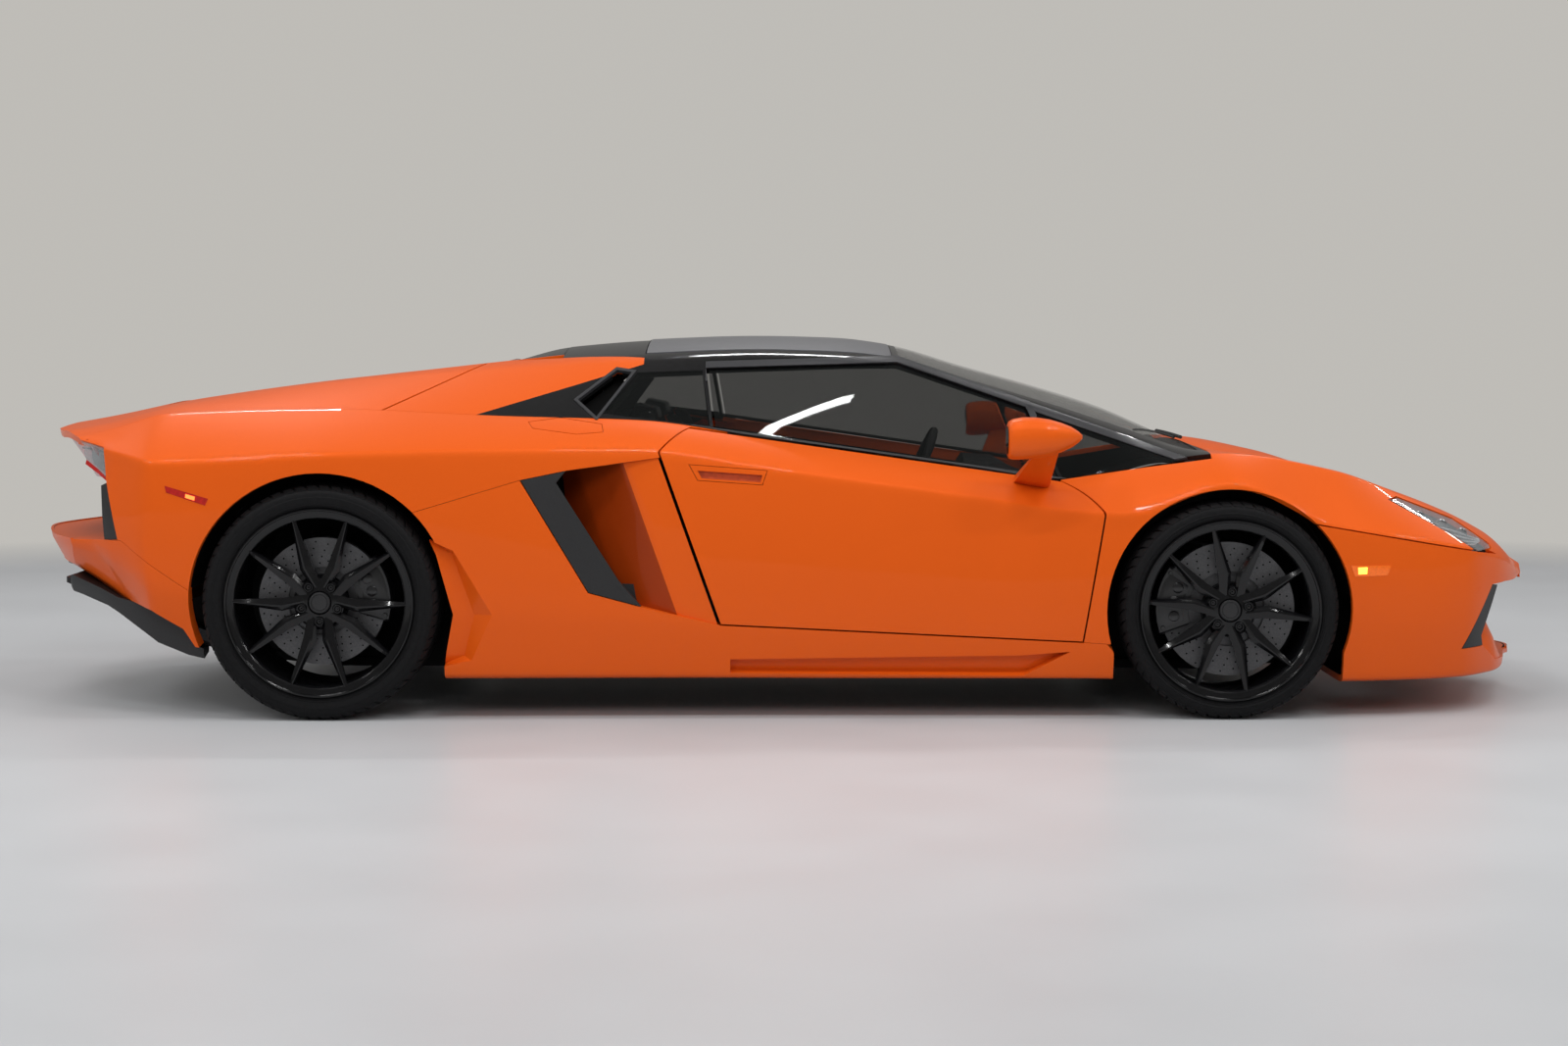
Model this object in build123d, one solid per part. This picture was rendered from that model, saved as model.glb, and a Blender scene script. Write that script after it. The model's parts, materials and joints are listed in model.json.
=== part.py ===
"""Mid-engined two-seat roadster with scissor doors and a lift-off hard top.

Millimetres. +X points to the nose, +Y to the car's left, +Z up. The origin is on the
ground, under the middle of the overall length. The outer skin is one ruled hull through
the rows of SECTIONS; each panel is a stretch of that hull's wall, cut out along its own
shut lines, so that neighbours always meet.
"""
import os
from collections import namedtuple
from math import atan2, cos, degrees, hypot, pi, radians, sin

from build123d import *

os.makedirs("parts", exist_ok=True)

# ---------------------------------------------------------------- driving dimensions
LENGTH = 4780
WHEELBASE = 2700
FRONT_OVERHANG = 1075
FRONT_TRACK = 1716
REAR_TRACK = 1690

NOSE = LENGTH / 2
TAIL = -LENGTH / 2
FRONT_AXLE = NOSE - FRONT_OVERHANG
REAR_AXLE = FRONT_AXLE - WHEELBASE

# Places along the car are written as on the base car, whose tail, axles and nose are here.
# place() moves them with the lengths above: each keeps its share of the overhang or wheelbase.
BASE = (-2390, -1385, 1315, 2390)


def place(x):
    low = 0 if x < BASE[1] else 1 if x < BASE[2] else 2
    ends = (TAIL, REAR_AXLE, FRONT_AXLE, NOSE)
    stretch = (ends[low + 1] - ends[low]) / (BASE[low + 1] - BASE[low])
    return ends[low] + (x - BASE[low]) * stretch


def at(x, other):
    """A point whose x is placed along the car; other is its y or z."""
    return place(x), other


# Walls and gaps
SKIN = 26            # fixed body panels
DOOR_WALL = 88       # a whole door, outer to inner skin
SKIRT_WALL = 55
GLASS = 6
SEAM = 0.4           # between two fixed panels
SHUT = 6.0           # round a panel that opens
PIN_FIT = 0.05       # radial, hinge pin to its eye

# ---------------------------------------------------------------- outer skin
Section = namedtuple(
    "Section", "x z_floor y_sill y_low z_low y_waist z_waist y_belt z_belt y_top z_top z_crown"
)
SECTIONS = [Section(place(row[0]), *row[1:]) for row in (
    # x, z_floor, y_sill, y_low, z_low, y_waist, z_waist, y_belt, z_belt, y_top, z_top, z_crown
    (2390, 112, 100, 150, 200, 170, 360, 140, 390, 70, 396, 398),
    (2280, 108, 440, 480, 230, 500, 415, 430, 448, 260, 462, 470),
    (2150, 106, 680, 720, 260, 740, 472, 640, 520, 420, 540, 548),
    (2040, 104, 800, 850, 270, 862, 502, 700, 580, 460, 592, 598),
    (1860, 103, 880, 925, 280, 925, 540, 740, 658, 500, 655, 660),
    (1640, 102, 915, 955, 290, 955, 572, 800, 736, 540, 710, 716),
    (1315, 108, 920, 968, 300, 975, 700, 840, 787, 580, 770, 782),
    (1000, 112, 930, 965, 232, 955, 612, 800, 738, 670, 852, 912),
    (830, 114, 935, 965, 236, 950, 622, 800, 706, 652, 908, 966),
    (560, 114, 935, 965, 246, 945, 660, 800, 741, 615, 992, 1042),
    (335, 114, 935, 965, 256, 945, 692, 805, 773, 585, 1060, 1106),
    (-100, 115, 935, 965, 275, 945, 752, 810, 835, 560, 1086, 1135),
    (-440, 115, 940, 975, 300, 950, 798, 812, 884, 550, 1074, 1124),
    (-860, 115, 955, 990, 330, 975, 800, 790, 897, 500, 1045, 1086),
    (-1385, 118, 965, 1005, 360, 1008, 790, 760, 918, 460, 1000, 1012),
    (-1860, 165, 900, 985, 390, 985, 768, 740, 905, 480, 932, 946),
    (-2200, 330, 800, 870, 470, 870, 790, 720, 856, 500, 870, 880),
    (-2390, 440, 640, 740, 505, 760, 808, 700, 834, 500, 844, 848),
)]
SECTIONS.sort(key=lambda s: s.x)
HULL_TAIL, HULL_NOSE = SECTIONS[0].x, SECTIONS[-1].x
WIDE = max(s.y_waist for s in SECTIONS) + 192    # beyond the mirrors
HIGH = max(s.z_crown for s in SECTIONS) + 165    # above the roof


def section_at(x):
    """The skin's section at x, straight between the rows on either side."""
    for low, high in zip(SECTIONS, SECTIONS[1:]):
        if x <= high.x or high is SECTIONS[-1]:
            share = (x - low.x) / (high.x - low.x)
            return Section(*(a + share * (b - a) for a, b in zip(low, high)))


def half_outline(section, inset):
    """Points (y, z) from the floor's middle round one side to the crown, moved inward by inset."""
    points = [
        (0, section.z_floor),
        (section.y_sill, section.z_floor),
        (section.y_low, section.z_low),
        (section.y_waist, section.z_waist),
        (section.y_belt, section.z_belt),
        (section.y_top, section.z_top),
        (0, section.z_crown),
    ]
    moved = [(0, section.z_floor + inset)]
    for before, here, after in zip(points, points[1:], points[2:]):
        moved.append(miter(before, here, after, inset))
    return moved + [(0, section.z_crown - inset)]


def miter(before, here, after, inset):
    """The corner here of a path that is moved to its left by inset."""
    angle_in = atan2(here[1] - before[1], here[0] - before[0])
    angle_out = atan2(after[1] - here[1], after[0] - here[0])
    half_turn = (angle_out - angle_in) / 2
    if half_turn > pi / 2:
        half_turn -= pi
    if half_turn < -pi / 2:
        half_turn += pi
    across = angle_in + half_turn + pi / 2
    reach = inset / cos(half_turn)
    return here[0] + reach * cos(across), here[1] + reach * sin(across)


def outline_wire(x, inset):
    """One closed section of the hull: straight sides, and an arc over the crown."""
    half = half_outline(section_at(x), inset)
    side = [Vector(x, y, z) for y, z in half[1:-1]]
    other = [Vector(x, -y, z) for y, z in half[1:-1]]
    crown = Vector(x, 0, half[-1][1])
    edges = [Edge.make_line(other[0], side[0])]
    edges += [Edge.make_line(a, b) for a, b in zip(side, side[1:])]
    edges.append(Edge.make_three_point_arc(side[-1], crown, other[-1]))
    edges += [Edge.make_line(b, a) for a, b in zip(other, other[1:])][::-1]
    return Wire(edges)


def hull(inset, x_from, x_to):
    """The space inside the skin, moved in by inset, from x_from to x_to."""
    inside = [s.x for s in SECTIONS if x_from + 1 < s.x < x_to - 1]
    wires = [outline_wire(x, inset) for x in [x_from, *inside, x_to]]
    return Solid.make_loft(wires, ruled=True)


def wall(thick, x_from, x_to, outer=0.0):
    """The hull's wall between two insets."""
    end = 2.0
    low, high = max(x_from - end, HULL_TAIL + thick), min(x_to + end, HULL_NOSE - thick)
    return hull(outer, x_from, x_to) - hull(outer + thick, low, high)


# ---------------------------------------------------------------- cutters
def box(x, y, z):
    """A block from three (low, high) pairs."""
    size = [b - a for a, b in (x, y, z)]
    middle = [(a + b) / 2 for a, b in (x, y, z)]
    return Pos(*middle) * Box(*size)


def side_prism(points, y_from=0.0, y_to=WIDE):
    """An (x, z) outline, extruded across the car."""
    face = Face(Wire.make_polygon([Vector(x, y_from, z) for x, z in points]))
    return Solid.extrude(face, Vector(0, y_to - y_from, 0))


def top_prism(points, z_from=0.0, z_to=HIGH):
    """An (x, y) outline, extruded upward."""
    face = Face(Wire.make_polygon([Vector(x, y, z_from) for x, y in points]))
    return Solid.extrude(face, Vector(0, 0, z_to - z_from))


def front_prism(points, x_from, x_to):
    """A (y, z) outline, extruded along the car."""
    face = Face(Wire.make_polygon([Vector(x_from, y, z) for y, z in points]))
    return Solid.extrude(face, Vector(x_to - x_from, 0, 0))


def both_ways(points):
    """An (x, y) outline given for y > 0, closed with its mirror image."""
    return points + [(x, -y) for x, y in reversed(points)]


def grow(points, by):
    """The outline moved outward by this much, square at its corners."""
    area = sum(a[0] * b[1] - b[0] * a[1] for a, b in zip(points, points[1:] + points[:1]))
    inset = -by if area > 0 else by
    ring = [points[-1], *points, points[0]]
    return [miter(a, b, c, inset) for a, b, c in zip(ring, ring[1:], ring[2:])]


def cylinder_y(x, z, radius, y_from, y_to):
    middle = Pos(x, (y_from + y_to) / 2, z)
    return middle * Rot(90, 0, 0) * Cylinder(radius, y_to - y_from)


def mirrored(shape):
    return shape.mirror(Plane.XZ)


def solids_of(*shapes):
    found = []
    for shape in shapes:
        found += shape.solids()
    return found


def save(name, *shapes):
    """Writes one sub-part, as a compound where it has several solids."""
    found = solids_of(*shapes)
    export_step(found[0] if len(found) == 1 else Compound(found), f"parts/{name}.step")


def save_pair(name, shape):
    save(name, shape, mirrored(shape))


# ---------------------------------------------------------------- shut lines, as (x, z) from the side
DOOR_REAR_TOP = at(-382, 795)
DOOR_REAR_LOW = at(-199, 282)
DOOR_FRONT_LOW = at(879, 230)
DOOR_FRONT_TOP = at(944, 603)
BELT_REAR = at(-217, 852)
BELT_FRONT = at(817, 704)
GLASS_REAR_TOP = at(-244, 1034)
GLASS_MID_TOP = at(336, 1051)
GLASS_FRONT_TOP = at(725, 916)
FRONT_QUARTER_LOW = at(1105, 748)
ROOF_REAR, ROOF_FRONT = place(-440), place(325)
FRAME_REAR = place(-620)
VENT_REAR = at(-962, 894)
COWL_REAR = FRONT_AXLE - 45
COWL_Z = 772
COWL_Y = 640
BUMPER_FRONT = place(-1690)


def on_line(a, b, x):
    """Height at x of the line through a and b."""
    return a[1] + (b[1] - a[1]) * (x - a[0]) / (b[0] - a[0])


def belt(x):
    return on_line(BELT_REAR, BELT_FRONT, x)


DOOR_SIDE = [
    DOOR_REAR_TOP, DOOR_REAR_LOW, DOOR_FRONT_LOW, DOOR_FRONT_TOP,
    (DOOR_FRONT_TOP[0], belt(DOOR_FRONT_TOP[0])),
    (DOOR_REAR_TOP[0], belt(DOOR_REAR_TOP[0])),
]
# The door's ends across its shoulder, as (x, y) from above
DOOR_TOP = [
    (DOOR_REAR_TOP[0], 948), (DOOR_REAR_TOP[0], WIDE), (DOOR_FRONT_TOP[0], WIDE),
    (DOOR_FRONT_TOP[0], 952), (BELT_FRONT[0], 800), (BELT_FRONT[0], 600),
    at(-290, 600), at(-290, 815),
]
DOOR_GLASS_SIDE = [BELT_REAR, GLASS_REAR_TOP, GLASS_MID_TOP, GLASS_FRONT_TOP, BELT_FRONT]
HANDLE_SIDE = [at(-266, 740), at(-74, 726), at(-80, 705), at(-254, 717)]
FRONT_QUARTER_SIDE = [
    (GLASS_FRONT_TOP[0] + 14, GLASS_FRONT_TOP[1] - 5), (BELT_FRONT[0] + 14, BELT_FRONT[1] + 4),
    at(1105, 752), at(1180, 760),
]
REAR_QUARTER_SIDE = [at(-556, 905), at(-459, 1026), (GLASS_REAR_TOP[0] - 16, 1033), at(-233, 868)]
BLADE_TOP_REAR, BLADE_TOP_FRONT = at(-791, 713), at(-654, 741)
BLADE_LOW_FRONT, BLADE_LOW_REAR = at(-431, 336), at(-590, 379)
BLADE_SIDE = [BLADE_TOP_REAR, BLADE_TOP_FRONT, BLADE_LOW_FRONT, BLADE_LOW_REAR]
INTAKE_SIDE = [BLADE_TOP_FRONT, at(-378, 779), at(-180, 276), BLADE_LOW_FRONT]
SKIRT_SIDE = [
    at(-1200, 90), at(-1200, 591), at(-1109, 618), BLADE_TOP_REAR, BLADE_LOW_REAR, BLADE_LOW_FRONT,
    DOOR_REAR_LOW, DOOR_FRONT_LOW, at(951, 225), at(1060, 90),
]
FIN_RECESS_SIDE = [at(-1110, 560), at(-988, 505), at(-874, 313), at(-938, 176), at(-1110, 140)]
SILL_RECESS_SIDE = [at(-170, 136), at(704, 128), at(841, 201), at(690, 190), at(-170, 178)]
BUMPER_SEAM = [(FRONT_AXLE + 200, 590), (NOSE - 230, 478)]
HEADLAMP_SIDE = [at(1790, 560), at(1850, 632), at(2130, 506), at(2100, 497)]
NOSE_NOTCH_SIDE = [
    (NOSE - 257, 385), (NOSE - 359, 195), (NOSE - 315, 160), (NOSE - 40, 128),
    (NOSE + 30, 150), (NOSE + 30, 372), (NOSE - 190, 388),
]
INTAKE_STRIP_SIDE = [
    (NOSE - 257, 384), (NOSE - 356, 196), (NOSE - 330, 188), (NOSE - 285, 210), (NOSE - 234, 384),
]
TAIL_RECESS_SIDE = [
    (TAIL - 60, 826), (TAIL + 190, 812), (TAIL + 400, 532), (TAIL + 165, 505), (TAIL - 60, 528),
]
TAIL_TOP_SIDE = [(TAIL - 60, 560), (TAIL + 90, 560), (TAIL + 90, HIGH), (TAIL - 60, HIGH)]
BUMPER_SIDE = [
    (TAIL - 40, 528), at(-1987, 530), at(-1792, 399),
    (BUMPER_FRONT, 340), (BUMPER_FRONT, 60), (TAIL - 40, 60),
]
# The deck from the side: its front ends run on over the vents, to the roof
BUTTRESS_SIDE = [
    (TAIL - 60, 500), (VENT_REAR[0], 500), VENT_REAR, at(-634, 992), (ROOF_REAR, 1051),
    (ROOF_REAR, HIGH), (TAIL - 60, HIGH),
]

# Openings in the top, as (x, y) from above
LID_REAR, LID_FRONT = FRONT_AXLE + 15, NOSE - 330
LID_TOP = both_ways([(LID_REAR, 560), (FRONT_AXLE + 330, 500), (LID_FRONT, 360)])
SCREEN_TOP = both_ways([at(345, 510), (COWL_REAR, 606)])
ROOF_TOP = both_ways([(ROOF_REAR, 500), (ROOF_FRONT, 520)])
HOOP_TOP = both_ways([(FRAME_REAR, 433), (ROOF_REAR + 20, 557)])
ENGINE_LID_FRONT, ENGINE_LID_REAR = place(-700), place(-1960)
ENGINE_LID_TOP = both_ways([(ENGINE_LID_FRONT, 380), at(-1200, 400), (ENGINE_LID_REAR, 330)])
LOUVRES = 6

# ---------------------------------------------------------------- hinges, walls and cabin
FRAME_WALL = SKIN
BUMPER_WALL = 60
BLADE_WALL = 40
NOTCH_INNER_Y = 150
STRIP_WALL = 14
DUCT_THICK = 5
# The duct's wall, point by point: how far back from its front edge, how far in at its floor and its roof
DUCT_CURVE = [(0, 0, 0), (50, 5, 14), (120, 13, 50), (190, 18, 88)]
HANDLE_DEEP = 14
RECESS_DEEP = 30
LOUVRE_RISE = 7
HINGE_GAP = 14
HINGE_BACK = 6.5     # from a lid's edge to its hinge axis
HINGE_DOWN = 7       # from the skin to the axis
HINGE_PIN_R = 3
HINGE_EYE_R = 5.5
HINGE_EYE = 30
LID_HINGE_Y = 260
ENGINE_HINGE_Y = 120
DOOR_HINGE = (place(930), 790, 655)
DOOR_TILT = 10
DOOR_PIN_R = 12
LUG_R = 20
LUG_THICK = 30
LUG_IN = DOOR_HINGE[1] - LUG_THICK / 2
DOOR_CORNER_Z = 596
DOOR_INNER_Y = 799
DOOR_FLANGE_Y = 925
DOOR_EDGE_RECESS = 1.0
# Under the wing, room for the open door's arm
ARM_POCKET = ((DOOR_HINGE[0] - 98, DOOR_HINGE[0] - 49), (780, 826), (600, 680))
SILL_IN = 780
SILL_Z = 400
POST_OUT = 850
FLOOR_TOP = 190
TUB_REAR = place(-560)
TUB_FRONT = place(932)
TUB_WALL = 40
REAR_BULKHEAD_Z = 880
FRONT_BULKHEAD_Z = 660
TUNNEL = 110
TUNNEL_Z = 400
ARM_IN = 430
LUGGAGE_TOP = 640
LUGGAGE_FRONT = place(1720)
DIFFUSER_Y = 600
DIFFUSER_TOP = at(-2222, 398)
DIFFUSER_SPACE = [
    (TAIL - 20, 400), (DIFFUSER_TOP[0], 400), at(-1700, 200), at(-1700, 60), (TAIL - 20, 60),
]
DIFFUSER_RAMP = [DIFFUSER_TOP, (DIFFUSER_TOP[0], 380), at(-1730, 170), at(-1700.5, 170), at(-1700.5, 194)]
DIFFUSER_FIN = [
    (DIFFUSER_TOP[0], 390), (DIFFUSER_TOP[0], 333), at(-2097, 277),
    at(-1902, 180), at(-1803, 161), at(-1740, 180),
]
EXHAUST_X = (TAIL + 20, TAIL + 480)
EXHAUST_Y = 180
EXHAUST_Z = (405, 500)
SEAT_X = place(-420)
SEAT_Y = 370
SEAT_HALF = 245
DASH_REAR = place(560)
COLUMN_R = 18
COLUMN_TILT = 22
WHEEL_CENTRE = (place(430), SEAT_Y, 650)
GRIP_RING_R = 178
GRIP_R = 15
MIRROR_X = place(737)

# ---------------------------------------------------------------- wheels
Wheel = namedtuple("Wheel", "end x track tyre_r tyre_w rim_r disc_r well_r arch_r arch_z liner_out")
WHEELS = [
    Wheel("front", FRONT_AXLE, FRONT_TRACK, 325, 255, 272, 200, 380, 366, 320, 900),
    Wheel("rear", REAR_AXLE, REAR_TRACK, 350, 335, 283, 190, 400, 390, 345, 930),
]
FRONT, REAR = WHEELS
HUB_BORE = 32
LINER = 5
SPOKES = 5


def arches():
    """What the four wheels cut out of every outer panel, in both sides at once."""
    cut = []
    for w in WHEELS:
        well = cylinder_y(w.x, w.arch_z, w.arch_r, 560, WIDE)
        below = box((w.x - w.arch_r, w.x + w.arch_r), (560, WIDE), (-200, w.arch_z))
        cut += [well, below]
    return cut


def liner_space():
    """Room for the wheel well liners in what is thicker than the skin."""
    cut = []
    for w in WHEELS:
        radius = w.well_r + LINER + SEAM
        well = cylinder_y(w.x, w.arch_z, radius, 560 - SEAM, w.liner_out + SEAM)
        below = box((w.x - radius, w.x + radius), (560 - SEAM, w.liner_out + SEAM), (-200, w.arch_z))
        cut += [well, below, mirrored(well), mirrored(below)]
    return cut


def tyre(w):
    """Turned about +Y round the axle, with the bead open for its rim."""
    half, bead = w.tyre_w / 2, w.rim_r - 14
    side = [(bead, -half + 18), (w.tyre_r - 30, -half), (w.tyre_r, -half + 34)]
    ring = side + [(r, -a) for r, a in reversed(side)]
    return turned(ring)


def turned(profile):
    """A (radius, across) profile turned about the Y axis through the origin."""
    face = Face(Wire.make_polygon([Vector(r, a, 0) for r, a in profile]))
    return Solid.revolve(face, 360, Axis.Y)


def rim(w):
    """Barrel, hub and five pairs of spokes, outer face towards -Y."""
    half = w.tyre_w / 2
    bead = w.rim_r - 14.4
    face_y = -half + 14
    barrel = turned([
        (bead, -half + 17), (w.rim_r - 3, -half + 4), (w.rim_r - 3, -half - 1), (bead - 8, -half - 1),
        (bead - 18, -half + 20), (bead - 26, 40), (bead - 20, half - 6), (bead, half - 6),
    ])
    hub = turned([
        (0, face_y + 8), (30, face_y + 8), (34, face_y + 12), (78, face_y + 12), (84, face_y + 52),
        (HUB_BORE, face_y + 52), (HUB_BORE, face_y + 24), (0, face_y + 24),
    ])
    shape = barrel + hub
    for pair in range(SPOKES):
        for lean in (-1, 1):
            shape += spoke(w, 2 * pi * pair / SPOKES, lean, face_y)
    return shape


def spoke(w, turn, lean, face_y):
    """One of a pair: out of the hub beside its bolt, then bent towards the rim."""
    stops = ((48, 0.50, 17, 16), (118, 0.235, 15, 6), (w.rim_r - 22, 0.318, 10, 0))
    wires = []
    for radius, angle, half_wide, sunk in stops:
        middle = turn + lean * angle
        out = Vector(cos(middle), 0, sin(middle))
        across = Vector(-sin(middle), 0, cos(middle))
        spot = out * radius + Vector(0, face_y + sunk, 0)
        deep = Vector(0, 34, 0)
        wires.append(Wire.make_polygon([
            spot - across * half_wide * 0.45, spot + across * half_wide * 0.45,
            spot + across * half_wide + deep, spot - across * half_wide + deep,
        ]))
    inner = Solid.make_loft(wires[:2], ruled=True)
    return inner + Solid.make_loft(wires[1:], ruled=True)


DISC_IN = 84         # from the tyre's outer face to the disc's
DISC_THICK = 36
KINGPIN_IN = 40      # from the wheel's middle plane to the kingpin
KINGPIN_R = 12


def brake_disc(w):
    face_y = -w.tyre_w / 2 + DISC_IN
    bell_y = -w.tyre_w / 2 + 14 + 52 + SEAM
    return turned([
        (HUB_BORE, bell_y), (76, bell_y), (80, face_y + 10), (w.disc_r - 88, face_y + 10),
        (w.disc_r - 88, face_y), (w.disc_r, face_y), (w.disc_r, face_y + DISC_THICK),
        (w.disc_r - 88, face_y + DISC_THICK), (w.disc_r - 88, face_y + 22), (HUB_BORE, face_y + 22),
    ])


def wheel_place(w, side):
    """Puts a wheel made facing -Y at its axle end; side is -1 right, 1 left."""
    turn = Rot(0, 0, 0) if side < 0 else Rot(0, 0, 180)
    return Pos(w.x, side * w.track / 2, w.tyre_r) * turn


def knuckle(w, caliper_at):
    """Spindle, upright and caliper, for a wheel facing -Y."""
    face_y = -w.tyre_w / 2
    spindle_r = HUB_BORE - PIN_FIT
    spindle = cylinder_y(0, 0, spindle_r, face_y + 14 + 24 + 2, KINGPIN_IN + 30)
    upright_y = face_y + DISC_IN + DISC_THICK + 12
    upright = box((-55, 55), (upright_y, upright_y + 40), (-150, 150))
    boss = box((-38, 38), (KINGPIN_IN - 30, KINGPIN_IN + 30), (-150, -118))
    boss += box((-38, 38), (KINGPIN_IN - 30, KINGPIN_IN + 30), (118, 150))
    bridge = box((-55, 55), (upright_y + 30, KINGPIN_IN + 30), (-150, 150))
    bridge -= box((-60, 60), (upright_y + 40, KINGPIN_IN + 31), (-118, 118))
    pins = Pos(0, KINGPIN_IN, 167) * Cylinder(KINGPIN_R, 40)
    pins += Pos(0, KINGPIN_IN, -167) * Cylinder(KINGPIN_R, 40)
    grip = caliper(w, face_y, caliper_at, upright_y)
    return spindle + upright + boss + bridge + pins + grip


def caliper(w, face_y, at, upright_y):
    """A block that straddles the disc's rim, on an arm from the upright."""
    half_span = 27
    profile = []
    for radius, sign in ((w.disc_r + 16, 1), (w.disc_r - 78, -1)):
        for step in range(-3, 4):
            angle = at + sign * step * half_span / 3
            profile.append((radius * cos(radians(angle)), radius * sin(radians(angle))))
    face = Face(Wire.make_polygon([Vector(x, face_y + DISC_IN - 24, z) for x, z in profile]))
    body = Solid.extrude(face, Vector(0, DISC_THICK + 48, 0))
    gap = turned([
        (1, face_y + DISC_IN - 5), (w.disc_r + 5, face_y + DISC_IN - 5),
        (w.disc_r + 5, face_y + DISC_IN + DISC_THICK + 5), (1, face_y + DISC_IN + DISC_THICK + 5),
    ])
    body -= gap
    side = 1 if cos(radians(at)) > 0 else -1
    arm = box(sorted((side * 40, side * (w.disc_r - 40))), (upright_y, upright_y + 18), (-60, 60))
    return body + arm


def make_wheels():
    """Tyre, rim, disc and knuckle at each corner."""
    for w in WHEELS:
        kinds = {"tyre": tyre(w), "rim": rim(w), "brake_disc": brake_disc(w)}
        caliper_at = 172 if w is FRONT else 12
        for side, hand in ((-1, "right"), (1, "left")):
            place = wheel_place(w, side)
            for kind, shape in kinds.items():
                save(f"{kind}_{w.end}_{hand}", place * shape)
            at = caliper_at if side < 0 else 180 - caliper_at
            save(f"knuckle_{w.end}_{hand}", place * knuckle(w, at))


# ---------------------------------------------------------------- outer panels
def cut_all(shape, *cutters):
    for cutter in cutters:
        shape = shape - cutter
    return shape


def half_space(y_from=300):
    """Everything on the left of this y."""
    return box((TAIL - 100, NOSE + 100), (y_from, WIDE), (0, HIGH))


def door_space(by=0.0):
    """Where a right or left door is, grown by the gap round it, for y > 0."""
    tall = DOOR_SIDE[:4] + [(DOOR_FRONT_TOP[0], HIGH), (DOOR_REAR_TOP[0], HIGH)]
    side = side_prism(grow(tall, by) if by else tall, 500)
    corners = box((place(-600), place(1200)), (400, WIDE), (DOOR_CORNER_Z, HIGH + 60))
    corners -= top_prism(grow(DOOR_TOP, by) if by else DOOR_TOP, DOOR_CORNER_Z - 10, HIGH + 80)
    return side - corners


def receding_edge():
    """Cuts the door's front corner back below the skin, so that it can swing past the wing."""
    (x0, y0), (x1, y1) = (DOOR_FRONT_TOP[0], 952), (BELT_FRONT[0], 800)
    z0, z1 = DOOR_FRONT_TOP[1] + 8, BELT_FRONT[1] + 12
    along = Vector(x1 - x0, y1 - y0, z1 - z0)
    back = Vector(-abs(y1 - y0), abs(x1 - x0), 0).normalized()
    down = back * DOOR_EDGE_RECESS + Vector(0, 0, -1)
    start = Vector(x0, y0, z0) - along * 0.3
    end = start + along * 1.8
    corners = [start - down * 60, end - down * 60, end + down * 150, start + down * 150]
    face = Face(Wire.make_polygon(corners))
    cutter = Solid.extrude(face, Vector(0, 0, 0) - back * 250)
    cutter -= box((0, FRONT_AXLE), (0, WIDE), (0, DOOR_CORNER_Z - 26))
    return cutter - box((0, FRONT_AXLE), (DOOR_FLANGE_Y, WIDE), (0, DOOR_CORNER_Z))


def front_bumper(both_arches):
    """Nose, chin and bumper corners in one piece, open at the intakes and below the lid."""
    skin = wall(SKIN, FRONT_AXLE + 60, HULL_NOSE)
    keep = side_prism([
        (FRONT_AXLE + 60, 60), (NOSE + 10, 60), (NOSE + 10, HIGH), (LID_FRONT, HIGH),
        (LID_FRONT, 520), BUMPER_SEAM[1], BUMPER_SEAM[0],
        (FRONT_AXLE + 60, BUMPER_SEAM[0][1] + 34),
    ], -WIDE, WIDE)
    notch = side_prism(NOSE_NOTCH_SIDE, NOTCH_INNER_Y, WIDE)
    lamp = headlamp_space(0)
    cuts = [notch, mirrored(notch), top_prism(grow(LID_TOP, SHUT), 400), lamp, mirrored(lamp)]
    return cut_all(skin & keep, *cuts, *both_arches)


def front_fenders(arch_cuts):
    """The wings, from the bumper seam back to the door and the screen's foot."""
    skin = wall(SKIN, DOOR_FRONT_LOW[0] - 100, LID_FRONT)
    above = side_prism([
        at(700, 226 + SEAM), at(960, 222 + SEAM), (FRONT_AXLE, 300),
        (FRONT_AXLE + 60, BUMPER_SEAM[0][1] + 34 + SEAM), (BUMPER_SEAM[0][0], BUMPER_SEAM[0][1] + SEAM),
        (BUMPER_SEAM[1][0], BUMPER_SEAM[1][1] + SEAM), (NOSE, 480), (NOSE, HIGH), at(700, HIGH),
    ])
    middle_x = place(500)
    greenhouse = side_prism([
        (middle_x, belt(middle_x)), BELT_FRONT, FRONT_QUARTER_LOW, (COWL_REAR, COWL_Z),
        (COWL_REAR, HIGH), (middle_x, HIGH),
    ])
    middle = top_prism(both_ways([(COWL_REAR - 300, COWL_Y), (LID_REAR, COWL_Y), (LID_REAR, 300)]), 400)
    cuts = [door_space(SHUT), greenhouse, middle, top_prism(grow(LID_TOP, SHUT), 300), *arch_cuts]
    return cut_all(skin & above, *cuts, headlamp_space(0), side_prism(SKIRT_SIDE, 400), box(*ARM_POCKET))


def headlamp_space(by):
    side = side_prism(grow(HEADLAMP_SIDE, by) if by else HEADLAMP_SIDE, 470)
    return side - top_prism(grow(LID_TOP, SHUT + 20), 300)


def headlamps():
    return wall(SKIN, place(1700), NOSE - 200) & headlamp_space(-SEAM)


def cowl():
    """The black strip between the screen's foot and the front lid."""
    skin = wall(SKIN, COWL_REAR - 60, LID_REAR)
    space = top_prism(both_ways([
        (COWL_REAR + SEAM, COWL_Y - SEAM), (LID_REAR - HINGE_GAP, COWL_Y - SEAM),
        (LID_REAR - HINGE_GAP, 100),
    ]), 600)
    pins = hinge_pins(LID_REAR - HINGE_BACK, skin_z(LID_REAR, LID_HINGE_Y) - HINGE_DOWN, LID_HINGE_Y, -1)
    return (skin & space) + pins


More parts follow.
